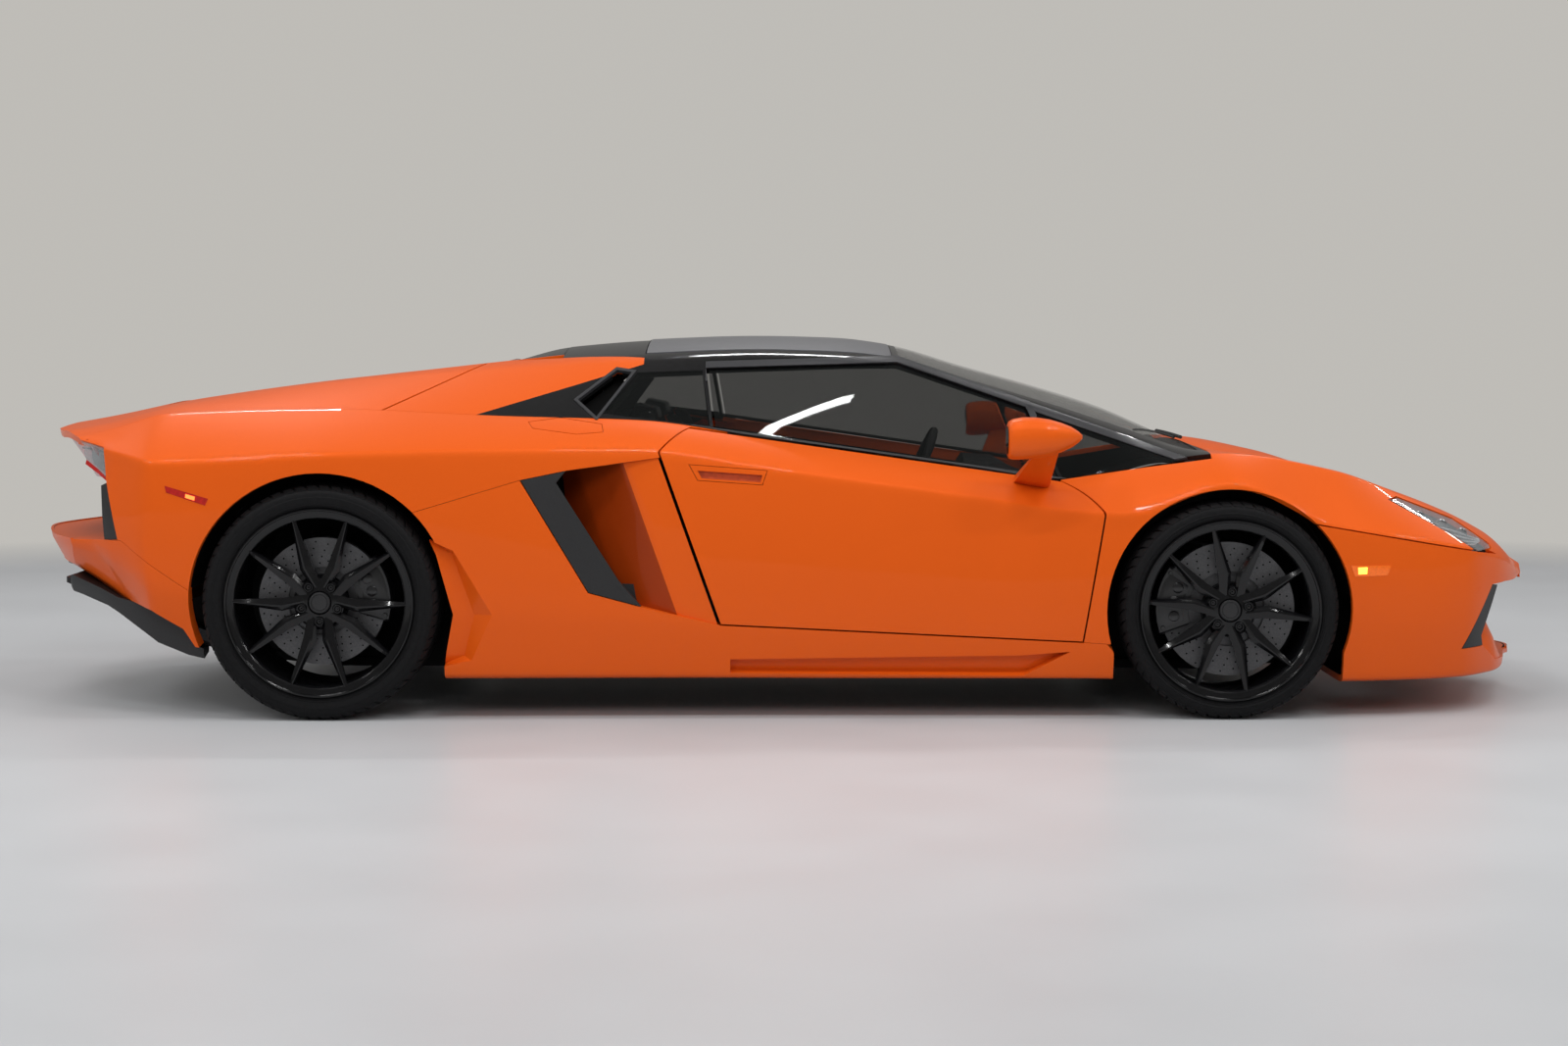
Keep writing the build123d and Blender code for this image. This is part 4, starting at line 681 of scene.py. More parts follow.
def front_panels():
    wing = skin(780, 2060, 1.0, 5.6, keep=[flank([
        (700, 226), (960, 224), (1315, 300), (1375, 626), (1515, 592), (2160, 480), (2400, 480), (2400, HIGH),
        (700, HIGH)])], cut=[
        flank(FRONT_ARCH), flank(LAMP, GAP), flank(SKIRT), plan(LID, GAP), DOOR_SPACE,
        flank([(500, belt(500)), BELT_FRONT, (1105, 748), (1270, 772), (1270, HIGH), (500, HIGH)]),
        plan([(900, 0), (900, 640), (1330, 640), (1330, 0)]),
    ])
    piece("front_wings", two(wing), PAINT, "front_fenders", back=LINER)
    lid = skin(1320, 2080, 4.0, 6.0, keep=[plan(LID, -GAP)], both=True)
    piece("front_lid_skin", [lid], PAINT, "front_lid", "front_lid")
    nose = skin(1375, 2390, 0.0, 6.0, keep=[flank([
        (1375, 60), (2420, 60), (2420, HIGH), (2060, HIGH), (2060, 520), (2160, 476), (1515, 588), (1375, 622)])],
        cut=[flank(FRONT_ARCH), plan(LID, GAP), flank(LAMP, GAP), flank(NOTCH)], both=True, dx=12,
        shape=nose_shape)
    piece("bumper_front", [nose], PAINT, "front_bumper", back=LINER)
    lens = skin(1780, 2140, 3.0, 5.0, keep=[flank(LAMP, -2)], thick=4)
    piece("headlamp_lens", two(lens), LENS, "headlamps")
    house = skin(1780, 2140, 3.0, 5.0, keep=[flank(LAMP, 6)], thick=4, lift=-46)
    piece("headlamp_housing", two(house), LAMP_GREY)


def sunk_cover(x, y, z):
    """The engine cover lies below the ridges beside it."""
    return x, y, z - 32 * ease((-700 - x) / 260)


def rear_panels():
    quarter = skin(-2390, -180, 1.0, 3.995, cut=[
        flank(REAR_ARCH), flank(SKIRT), flank(INTAKE), flank(BLADE), flank(BUMPER),
        flank(TAIL_RECESS), flank(TAIL_TOP), DOOR_SPACE,
        flank([(-199, 200), (-199, 276), (-100, 276), (-100, 200)]),
        flank([(-1100, 0), (-1100, 130), (0, 276), (0, 0)]), flank(FUEL_FLAP, 0.8),
    ], thick=26, shape=tail_shape)
    flap = skin(-800, -530, 3.0, 3.995, keep=[flank(FUEL_FLAP, -0.8)], thick=8)
    piece("rear_quarter_skins", two(quarter) + two(flap), PAINT, "rear_quarters", back=LINER)
    deck = skin(-2390, -441, 4.0, 6.0, keep=[flank(BUTTRESS)], cut=[
        plan(COVER, GAP), plan(HOOP_PLAN), flank(VENT, 7), flank(TAIL_TOP), flank(TAIL_RECESS),
        flank(DECK_LINE)], both=True, thick=22, shape=tail_shape)
    piece("rear_deck_skin", [deck], PAINT, "rear_deck", back=LINER)
    cover = skin(-1960, -700, 4.0, 6.0, keep=[plan(COVER, -GAP)], both=True, thick=20, lift=-3,
                 shape=sunk_cover)
    piece("engine_cover_skin", [cover], GLOSS, "engine_cover", "engine_cover")
    slats = []
    for k in range(LOUVRES):
        front = -880 - LOUVRE_PITCH * k
        rear = front - LOUVRE_WIDE
        slats.append(skin(rear, front, 4.0, 6.0, keep=[plan(both_ways([(front, 300), (rear, 300)]))], both=True,
                          thick=6, lift=4, dx=30, shape=sunk_cover))
    piece("engine_cover_louvres", slats, GLASS, body="engine_cover")
    bumper = skin(-2390, -1690, 0.0, 3.9, keep=[flank(BUMPER, -1.2)], cut=[
        flank(REAR_ARCH), flank(TAIL_RECESS), flank(UNDER_ORANGE)], thick=40, shape=tail_shape)
    piece("rear_bumper_skin", two(bumper), PAINT, "rear_bumper", back=LINER)
    rows = []
    for x, top, foot, out in ((-2198, 404, 370, 655), (-2190, 409, 358, 664), (-2085, 374, 332, 745),
                              (-2025, 350, 302, 790), (-1892, 322, 218, 862), (-1796, 267, 184, 893),
                              (-1763, 212, 177, 900), (-1746, 205, 174, 902)):
        rows.append([(x, out, top), (x, out - 4, (top + foot) / 2), (x, out - 16, foot), (x, out - 90, foot + 14),
                     (x, out - 90, top)])
    plain("diffuser_sides", loft(rows), SATIN, mirror=True)
    skirt = skin(-1200, 1060, 0.8, 3.9, keep=[flank(SKIRT, -1.2)], cut=[
        flank(REAR_ARCH), flank(FRONT_ARCH), flank(DOOR_SIDE[:4], GAP), flank(SILL_RECESS),
        flank(FIN_RECESS)], thick=50)
    hollow = skin(-300, 1060, 1.0, 3.0, keep=[flank(SILL_RECESS)], thick=8, lift=-34)
    piece("skirt_skins", two(skirt) + two(hollow), PAINT, "side_skirts", back=LINER)
    blade = skin(-820, -400, 1.5, 3.9, keep=[flank(BLADE_FACE, -1.5)], thick=34, lift=1)
    piece("intake_blade_skins", two(blade), SATIN, "intake_blades")


def top_panels():
    frame = skin(-962, 1270, 4.0, 6.0, keep=[flank([
        (-962, 894), (-634, 992), (-441, 1051), (-441, HIGH), (1270, HIGH), (1270, 774), (1105, 750), (820, 707),
        (817, 710), (-217, 858), (-382, 882)])], cut=[
        plan(ROOF_TOP), plan(SCREEN_TOP), flank(DOOR_GLASS, 4), flank(FRONT_PANE), flank(REAR_PANE),
        flank(VENT)], both=True, thick=20)
    hoop = skin(-700, -438, 4.8, 6.0, keep=[plan(HOOP_PLAN)], both=True, thick=20, lift=-2)
    piece("roof_frame_skin", [frame, hoop], GLOSS, "roof_frame")
    # A near-black sheet inside each rear vent: painted shade in the opening.
    well = skin(-680, -440, 4.0, 5.0, keep=[flank(VENT, 8)], thick=4, lift=-46)
    piece("rear_vent_wells", two(well), HOLE)
    bezel = skin(-680, -440, 3.95, 5.2, keep=[flank(VENT, 7)], cut=[flank(VENT, -1)], thick=10, lift=3)
    rail = skin(-260, 760, 4.2, 5.4, keep=[flank(DOOR_GLASS, 24)], cut=[flank(DOOR_GLASS, 5),
                flank([(-400, 600), (-400, 1000), (-217, 1000), (-217, 870), (817, 722), (900, 722), (900, 600)]),
                flank([(-400, 900), (-400, 1100), (-250, 1100), (-250, 900)])], thick=8, lift=3)
    pillar = skin(730, 1200, 3.95, 5.4, keep=[flank([(725, 940), (725, 916), (1180, 757), (1225, 764)])],
                  cut=[flank(FRONT_PANE, 1)], thick=8, lift=3)
    piece("window_trims", two(bezel) + two(rail) + two(pillar), TRIM)
    roof = []
    for side in (1, -1):
        poly = [(-436, 3 * side), (-436, 497 * side), (322, 517 * side), (322, 3 * side)]
        roof.append(skin(-440, 325, 4.6, 6.0, keep=[plan(poly)], both=True, thick=20, lift=2))
    piece("roof_panel_skins", roof, ROOF, "roof_panels")
    screen = skin(330, 1275, 4.4, 6.0, keep=[plan(SCREEN_TOP, -1)], both=True, thick=6)
    piece("windscreen_pane", [screen], SCREEN, "windscreen")
    panes = skin(700, 1200, 3.9, 5.0, keep=[flank(FRONT_PANE, -1)], thick=5)
    rear = skin(-600, -200, 3.9, 5.0, keep=[flank(REAR_PANE, -1)], thick=5)
    piece("quarter_panes", two(panes) + two(rear), GLASS, "side_windows")


def on_section(x, low, high, above):
    """The section's point, between two of its corners, where the test stops being true."""
    points = section_points(x)
    for _ in range(22):
        middle = (low + high) / 2
        if above(surface(x, middle, points)):
            low = middle
        else:
            high = middle
    return surface(x, low, points)


def side_y(x, z):
    """How far out the body's side is at this height."""
    return on_section(x, 1.0, 4.0, lambda p: p[2] < z)[1]


def top_z(x, y):
    """The height of the body's top at a place in plan."""
    return on_section(x, 4.0, 6.0, lambda p: p[1] > y)[2]


DUCT_BEHIND_DOOR = 8
DUCT_BACK = (0, 60, 95, 115, 190, 260, 340)
DUCT_FLOOR = (0, 3, 4, 6, 24, 55, 90)
DUCT_ROOF = (0, 4, 8, 16, 88, 135, 230)


def intake_point(s, z):
    """The duct's surface: s from the door's edge back, at height z."""
    share = (z - 280) / 506
    (x0, z0), (x1, z1) = DOOR_REAR_TOP, DOOR_REAR_LOW
    x = x0 + (z0 - z) * (x1 - x0) / (z0 - z1) - DUCT_BEHIND_DOOR
    back = DUCT_BACK[-1] * s
    floor = float(np.interp(back, DUCT_BACK, DUCT_FLOOR))
    roof = float(np.interp(back, DUCT_BACK, DUCT_ROOF))
    return x - back, side_y(x, z) - 5 - floor - share * (roof - floor), z


def duct_skins():
    """The curved wall that leads air in behind the blade, with its roof; its rear part has a darker orange, painted
    shade.
    """
    n, m, painted_shade_from = 34, 40, 11
    rings = [[intake_point(i / n, 284 + 500 * j / m) for j in range(m + 1)] for i in range(n + 1)]
    verts, faces = loft(rings, closed=False, caps=False)
    back = [(v[0] - 4, v[1] - 5, v[2]) for v in verts]
    count = len(verts)
    faces += [tuple(k + count for k in reversed(f)) for f in faces]
    obj = plain("intake_duct_skins", (verts + back, faces), PAINT, "intake_ducts", angle=60, mirror=True)
    # Faces towards the duct's rear get the darker paint: painted shade where the duct lies in shadow.
    obj.data.materials.append(PAINT_PAINTED_SHADE)
    obj.data.polygons.foreach_set("material_index", [int(k % (n * m) // m >= painted_shade_from) for k in range(4 * n * m)])
    # A near-black sheet far inside each duct: painted shade where the intake opens into the body.
    shade = [(-760, 640), (-640, 800), (-380, 800), (-300, 600)]
    data = skin(-760, -340, 2.4, 3.99, keep=[flank(shade)], thick=3, lift=-205, dx=40)
    piece("intake_back", two(data), HOLE)


def fin_recesses():
    """The stepped hollow ahead of each rear wheel: a sloped facet, then a floor back to the arch."""
    rim = [(-1058, 541), (-988, 505), (-874, 313), (-938, 176), (-1017, 152)]
    foot = [(-1058, 538), (-995, 494), (-930, 313), (-962, 190), (-1017, 166)]
    arch = [(-1060, 535), (-1040, 490), (-992, 313), (-1014, 200), (-1018, 170)]
    rows = []
    for i in range(len(rim) - 1):
        for k in range(7 if i < len(rim) - 2 else 8):
            t = k / 7
            row = []
            for line, deep in ((rim, 0.0), (foot, 30.0), (arch, 22.0)):
                x = line[i][0] + (line[i + 1][0] - line[i][0]) * t
                z = line[i][1] + (line[i + 1][1] - line[i][1]) * t
                row.append((x, side_y(x, z) - deep, z))
            rows.append(row)
    plain("fin_hollows", loft(rows, closed=False, caps=False), PAINT, angle=20, mirror=True)


def build_panels():
    door_panels()
    front_panels()
    rear_panels()
    top_panels()
    duct_skins()
    fin_recesses()


# ------------------------------------------------------------------ wheels
class Wheel:
    def __init__(self, end, x, track, r, w, rim, disc, turn, grip):
        self.end, self.x, self.track, self.r, self.w = end, x, track, r, w
        self.rim, self.disc, self.turn, self.grip = rim, disc, radians(turn), grip


WHEELS = (Wheel("front", FRONT_X, 1716, 325, 255, 272, 200, 12, 172),
          Wheel("rear", REAR_X, 1690, 350, 335, 283, 190, 53, 12))
PITCHES = 60                                  # tread blocks round a tyre
RIM_INSET, DISC_INSET = 14, 84                # from the tyre's outer side to the hub's and the disc's face
BOLTS, BOLT_CIRCLE = 5, 56


def at_corner(w, hand, data):
    """Vertices of a wheel that faces -Y, turned and moved to its corner."""
    k = 1 if hand == "right" else -1
    verts, faces = data
    return [(w.x + k * x, k * y - k * w.track / 2, w.r + z) for x, y, z in verts], faces


def tyre_parts(w):
    """Side walls with their rings, grooved band, and slanted tread blocks."""
    half, b, r = w.w / 2, w.rim, w.r
    side = [(b - 13, -half + 18), (b - 3, -half + 9), (b + 3, -half + 4), (b + 6, -half + 4.5), (b + 7, -half + 2),
            (b + 10, -half + 1.5), (b + 11, -half + 2.6), (b + 16, -half + 0.6), (r - 36, -half),
            (r - 34, -half + 1.2), (r - 27, -half + 1.5), (r - 20, -half + 4), (r - 13, -half + 10),
            (r - 9, -half + 20), (r - 7, -half + 34)]
    ring = side + [(q, -y) for q, y in reversed(side)]
    parts = [lathe(ring, 120)]
    rows = ((-half + 7, -half + 58, 0.0, 0.78), (-half + 64, -half * 0.34, 0.5, 0.80))
    for flip in (1, -1):
        for y0, y1, shift, share in rows:
            tops = []
            for t in (0, 0.18, 0.42, 1):
                y = y0 + (y1 - y0) * t
                edge = max(0.0, (-half + 40 - y) / 33)
                tops.append((y, r - 0.4 - 13 * edge ** 2))
            for k in range(PITCHES):
                a = TAU * (k + shift) / PITCHES
                rings = []
                for end in (0, share):
                    turn = a + TAU * end / PITCHES
                    up = [(turn + (y - y0) * 0.0011, y * flip, q) for y, q in tops]
                    down = [(turn + (y - y0) * 0.0011, y * flip, q - 9) for y, q in reversed(tops)]
                    rings.append([(q * cos(g), y, q * sin(g)) for g, y, q in up + down])
                parts.append(loft(rings))
    rib = [(r - 8, -half * 0.26), (r, -half * 0.26), (r, -half * 0.05), (r - 8, -half * 0.05)]
    for flip in (1, -1):
        parts.append(lathe([(q, y * flip) for q, y in rib], 120))
    return joined(*parts)


def spoke(w, turn, lean, face):
    """Out of the hub beside its bolt, then bent straight to the rim, with a ridge along it."""
    joints = []
    for radius, angle in ((30, 0.66), (112, 0.255), (w.rim - 11, 0.318)):
        a = turn + lean * angle
        joints.append(Vector((radius * cos(a), 0, radius * sin(a))))
    first, second = (joints[1] - joints[0]).normalized(), (joints[2] - joints[1]).normalized()
    bend = (first + second).normalized()
    rings = []
    for leg, t, wide, sunk, deep, along in (
            (0, 0.0, 24, 13, 30, first), (0, 0.45, 32, 9, 32, first), (0, 0.9, 37, 3.5, 32, first),
            (1, 0.0, 38, 2.5, 32, bend), (1, 0.08, 36, 2, 32, second), (1, 0.5, 24, -2, 28, second),
            (1, 0.85, 14, -5, 22, second), (1, 1.0, 8, -6, 12, second)):
        spot = joints[leg].lerp(joints[leg + 1], t)
        across = Vector((-along.z, 0, along.x)) * lean
        ring = []
        for q, d in ((-0.5, deep), (-0.5, 9), (-0.22, 0.6), (-0.06, 0), (0.5, 7), (0.5, deep)):
            p = spot + across * (q * wide)
            ring.append((p.x, face + sunk + d, p.z))
        rings.append(ring if lean == 1 else list(reversed(ring)))
    return loft(rings)


def bolt_spots(w, y):
    angles = [w.turn + TAU * k / BOLTS for k in range(BOLTS)]
    return [(BOLT_CIRCLE * cos(a), y, BOLT_CIRCLE * sin(a)) for a in angles]


def rim_parts(w):
    """Lip, stepped ring and barrel, hub, and five pairs of ridged spokes."""
    half, b = w.w / 2, w.rim
    lip = [(b - 14.5, -half + 18), (b - 5, -half + 7), (b - 2.5, -half + 1.5), (b - 3.5, -half - 1),
           (b - 6.5, -half - 1.4), (b - 9, -half + 0.5), (b - 11, -half + 5), (b - 17, -half + 7), (b - 26, -half + 8.5),
           (b - 30, -half + 12), (b - 33, -half + 22), (b - 37, -half + 60), (b - 38, 20), (b - 36, half - 30),
           (b - 24, half - 7), (b - 16, half - 6)]
    parts = [lathe(lip, 120)]
    face = -half + RIM_INSET
    hub = [(0.1, face + 20), (30, face + 20), (33, face + 12), (36, face + 9), (50, face + 12), (72, face + 19),
           (80, face + 30), (84, face + 51), (20, face + 51), (0.1, face + 40)]
    parts.append(lathe(hub, 60))
    for pair in range(BOLTS):
        for lean in (-1, 1):
            parts.append(spoke(w, w.turn + TAU * pair / BOLTS, lean, face))
    ring = [(14, 14), (14, 1), (12.5, -1.5), (9.6, -1.5), (8.6, 0), (8.6, 14)]
    for spot in bolt_spots(w, face + 5):
        parts.append(lathe(ring, 24, spot, closed=False))
    return joined(*parts)


def cap_parts(w):
    """A plain cap in the hub and the heads of the five wheel bolts."""
    face = -w.w / 2 + RIM_INSET
    parts = [lathe([(0.1, face + 4), (14, face + 4.3), (22, face + 5.2), (24, face + 6.8), (25.5, face + 4.6),
                    (29, face + 4.6), (31, face + 7), (32, face + 22), (0.1, face + 22)], 48)]
    for spot in bolt_spots(w, face + 5):
        parts.append(lathe([(2.8, 9), (3.2, 3.2), (6.4, 2.4), (7.2, 3.6), (7.2, 9)], 6, spot))
    return joined(*parts)


def disc_marks(w):
    """The drilled holes' dark mouths, in curved rows: flat near-black marks on the disc's face, painted shade for the
    holes.
    """
    face = -w.w / 2 + DISC_INSET - 0.4
    parts = []
    for row in range(30):
        for k in range(4):
            radius = w.disc - 12 - 19 * k - (7 if row % 2 else 0)
            a = TAU * row / 30 + 0.055 * k
            cx, cz = radius * cos(a), radius * sin(a)
            ring = [(cx + 2.7 * cos(TAU * i / 8), face, cz + 2.7 * sin(TAU * i / 8)) for i in range(8)]
            parts.append((ring, [tuple(range(8))]))
    return joined(*parts)


def caliper_parts(w, at):
    """A rounded block over the disc's rim, with raised pads where its pistons are."""
    face = -w.w / 2 + DISC_INSET
    parts = []
    shape = ((-84, 6), (-80, -8), (-70, -22), (-60, -26), (0, -27), (9, -24), (16, -14), (18, 0), (18, 40), (6, 46),
             (6, -4), (-84, -4))
    rings = []
    for k in range(-9, 10):
        a = radians(at + 29 * k / 9)
        squeeze = 1 - 0.35 * (abs(k) / 9) ** 6
        rings.append([((w.disc + q) * cos(a), face + (d if d > -5 else d * squeeze), (w.disc + q) * sin(a))
                      for q, d in shape])
    parts.append(loft(rings))
    piston = [(0.1, -30), (13, -30), (16, -28), (17, -24), (17, -10), (0.1, -10)]
    screw = [(0.1, -31), (6, -31), (7, -29), (7, -10), (0.1, -10)]
    for profile, sides, radius, turns in ((piston, 24, w.disc - 36, (-15, 0, 15)), (screw, 6, w.disc + 4, (-24, 24))):
        for turn in turns:
            a = radians(at + turn)
            parts.append(lathe(profile, sides, (radius * cos(a), face, radius * sin(a))))
    return joined(*parts)


def build_wheels():
    for w in WHEELS:
        shapes = (("tread_tyre", tyre_parts(w), RUBBER, "tyre", "tyre", 28),
                  ("spoked_rim", rim_parts(w), WHEEL, "wheel_black", "rim", 22),
                  ("wheel_cap", cap_parts(w), SATIN, "wheel_black", None, 30),
                  ("disc_holes", disc_marks(w), HOLE, "black_trim", None, 35))
        for hand in ("right", "left"):
            corner = f"{w.end}_{hand}"
            for name, shape, mat, slot, node, angle in shapes:
                plain(f"{name}_{corner}", at_corner(w, hand, shape), mat, node and f"{node}_{corner}",
                      f"wheel_{corner}", angle)
            shape = at_corner(w, hand, caliper_parts(w, w.grip if hand == "right" else 180 - w.grip))
            carrier = "body" if w.end == "rear" else f"steer_{hand}"
            plain(f"caliper_{corner}", shape, CALIPER, body=carrier)


# ------------------------------------------------------------------ mirrors, lamps and small parts
MIRROR_X = 737
MIRROR_RINGS = ((-92, 1000, 1118, 787, 881), (-89, 993, 1126, 780, 889), (-78, 988, 1131, 777, 896),
                (-50, 986, 1133, 777, 901), (-10, 986, 1132, 780, 901), (30, 989, 1129, 787, 895),
                (65, 994, 1120, 798, 885), (95, 1003, 1106, 812, 873), (114, 1015, 1090, 825, 861),
                (126, 1032, 1072, 837, 850))


def bowed(inner, outer, low, high, count=20):
    """A rounded ring with a crease half-way up its outer side."""
    out = []
    cy, cz = (inner + outer) / 2, (low + high) / 2
    for k in range(count):
        a = TAU * k / count
        c, q = cos(a), sin(a)
        y = cy + (outer - inner) / 2 * copysign(abs(c) ** 0.72, c)
        z = cz + (high - low) / 2 * copysign(abs(q) ** 0.72, q)
        out.append((y, z))
    return out


def build_mirrors():
    rings = [[(MIRROR_X + x, y, z) for y, z in bowed(*ends)] for x, *ends in MIRROR_RINGS]
    head = loft(rings)
    foot = [(-58, 796), (-20, 790), (30, 790), (48, 800), (48, 850), (30, 868), (-20, 868), (-58, 856)]
    neck = [(-4, 1010), (12, 1004), (44, 1004), (60, 1010), (60, 1046), (44, 1054), (12, 1054), (-4, 1046)]
    rows = []
    for k in range(9):
        t = k / 8
        ring = []
        for (fx, fy), (nx, ny) in zip(foot, neck):
            x, y = fx + (nx - fx) * t, fy + (ny - fy) * t
            z = (1 - t) * (belt(MIRROR_X + fx) - 14 - (fy - 800) * 0.16) + t * 800
            ring.append((MIRROR_X + x, y, z))
        rows.append(ring)
    stalk = loft(rows)
    pane = [(MIRROR_X - 93.5, 1059 + (y - 1059) * 0.9, 834 + (z - 834) * 0.88) for y, z in bowed(1000, 1118, 787, 881)]
    for hand, k in (("left", 1), ("right", -1)):
        verts, faces = joined(head, stalk)
        order = faces if k == 1 else [tuple(reversed(f)) for f in faces]
        plain(f"mirror_head_{hand}", ([(x, k * y, z) for x, y, z in verts], order), PAINT, f"mirror_{hand}",
              f"door_{hand}", angle=50)
        ring = [(x, k * y, z) for x, y, z in pane]
        plain(f"mirror_pane_{hand}", (ring, [tuple(range(20))]), MIRROR_GLASS, body=f"door_{hand}")


def patch(poly, thick, lift, x0, x1, u0, u1, dx=12, cut=()):
    return skin(x0, x1, u0, u1, keep=[flank(poly)], cut=cut, thick=thick, lift=lift, dx=dx)


def disc_poly(x, z, r, n=20):
    return [(x + r * cos(TAU * k / n), z + r * sin(TAU * k / n)) for k in range(n)]


def build_lamps():
    for end, glass, lit, u0, shape, ends, spot, near in (
            ("front", AMBER, AMBER_LIT, 2.0, [(1673, 458), (1795, 458), (1784, 428), (1685, 425)], (1640, 1820),
             [(1694, 452), (1722, 453), (1721, 433), (1695, 432)], (1680, 1740)),
            ("rear", RED, RED_LIT, 2.2, [(-1839, 697), (-1709, 659), (-1718, 639), (-1834, 677)], (-1870, -1690),
             [(-1776, 673), (-1748, 665), (-1750, 654), (-1777, 662)], (-1790, -1735))):
        piece(f"side_marker_{end}", two(patch(shape, 10, 1.2, *ends, u0, 3.2)), glass)
        piece(f"side_marker_{end}_light", two(patch(spot, 2, 2.0, *near, u0, 3.2, 8)), lit)
    eye = patch(disc_poly(2088, 376, 9), 5, 0.6, 2070, 2105, 2.0, 3.2, 6)
    piece("parking_sensors", two(eye), PAINT)
    bars = []
    for t in (0.22, 0.40, 0.58, 0.76):
        line = []
        for k in range(13):
            f = 0.06 + 0.86 * k / 12
            top = (1790 + (2130 - 1790) * f, 585 + (508 - 585) * f + 34 * sin(pi * f) * (1 - t))
            x, z = top[0], top[1] - 44 * t * sin(pi * min(1, f + 0.08)) ** 0.6
            line.append((x, side_y(x, min(z, section_points(x)[4][1] - 2)) - 24, z))
        bars.append(tube(line, 2.6, 8))
    plain("headlamp_ribs", joined(*bars), LAMP_WHITE, mirror=True)
    cups = []
    for x, z, r in ((1905, 590, 19), (1975, 566, 18), (2040, 540, 16)):
        y = side_y(x, min(z, section_points(x)[4][1] - 3)) - 36
        cup = [(0.1, 10), (r * 0.5, 8), (r * 0.9, -2), (r, -6), (r + 2, -5), (r + 2, 14)]
        verts, faces = lathe(cup, 24, closed=False)
        cups.append(([(x + vx, y - vy, z + vz) for vx, vy, vz in verts], [tuple(reversed(f)) for f in faces]))
    plain("headlamp_cups", joined(*cups), REFLECTOR, mirror=True)


def cushion(middle, along, length, width, thick, channels=(), n=28):
    """A crowned closed pad whose sides pull in between its corners, with channels sewn in, and its piping."""
    along, across = Vector(along).normalized(), Vector((0, 1, 0))
    up = along.cross(across)
    middle = Vector(middle)

    def spot(s, t, side):
        h = thick / 2 * ((1 - s ** 6) * (1 - t ** 6)) ** 0.5 * (1 + 0.18 * (1 - s * s) * (1 - t * t))
        for axis, place in channels:
            d = ((s if axis == "s" else t) - place) * (length if axis == "s" else width) / 2
            h -= 0.16 * thick * exp(-(d / 5) ** 2)
        h = max(h, 0)
        a = s * length / 2 * (1 - 0.035 * (1 - t * t))
        b = t * width / 2 * (1 - 0.045 * (1 - s * s))
        return middle + along * a + across * b + up * (h * (side if side > 0 else 0.7 * side))

    ticks = [sin(pi * (i / n - 0.5)) for i in range(n + 1)]
    parts = []
    for side in (1, -1):
        rows = [[tuple(spot(a, b, side)) for b in ticks] for a in ticks]
        verts, faces = loft(rows, closed=False, caps=False)
        parts.append((verts, faces if side < 0 else [tuple(reversed(f)) for f in faces]))
    loop = [spot(-1, b, 1) for b in ticks] + [spot(a, 1, 1) for a in ticks[1:]]
    loop += [spot(1, b, 1) for b in reversed(ticks[:-1])] + [spot(a, -1, 1) for a in reversed(ticks[:-1])]
    return joined(*parts), tube(loop, 3.0, 6)


SEAT_Y = 370
SEAT_SHELL = [(-420, 200), (140, 200), (176, 322), (150, 350), (-196, 286), (-406, 912), (-468, 926),
              (-492, 890), (-420, 500)]


def build_seats():
    """Two bucket seats: a hard shell, and pads for thighs, back, sides and head."""
    base, rear = (350, 0, 65), (210, 0, -630)
    pads = (("base", (-22, 0, 342), base, 372, 300, 96, (("s", -0.3), ("s", 0.3))),
            ("base", (-12, 176, 352), base, 380, 96, 116, ()), ("base", (-12, -176, 352), base, 380, 96, 116, ()),
            ("back", (-262, 0, 520), rear, 400, 290, 90, (("s", -0.5), ("s", 0), ("s", 0.5))),
            ("back", (-250, 176, 530), rear, 420, 96, 124, ()), ("back", (-250, -176, 530), rear, 420, 96, 124, ()),
            ("back", (-356, 0, 818), rear, 150, 230, 76, ()))
    rings = []
    for y, less in ((-243, 26), (-238, 12), (-222, 3), (-190, 0), (0, 0), (190, 0), (222, 3), (238, 12), (243, 26)):
        ring = []
        for x, z in grow(SEAT_SHELL, -less):
            slim = 1 - 0.38 * clamp((z - 640) / 240)
            ring.append((x, SEAT_Y + y * slim, z))
        rings.append(ring)
    plain("seat_shells", loft(rings), GLOSS, "seats", angle=40, mirror=True)
    for part in ("base", "back"):
        made = [cushion(*pad[1:]) for pad in pads if pad[0] == part]
        body, seams = (joined(*shapes) for shapes in zip(*made))
        for hand, y in (("left", SEAT_Y), ("right", -SEAT_Y)):
            plain(f"seat_{part}_{hand}", moved(body, (0, y, 0)), LEATHER, angle=60)
            plain(f"seat_{part}_seams_{hand}", moved(seams, (0, y, 0)), ACCENT_AND_PAINTED_SHADE)


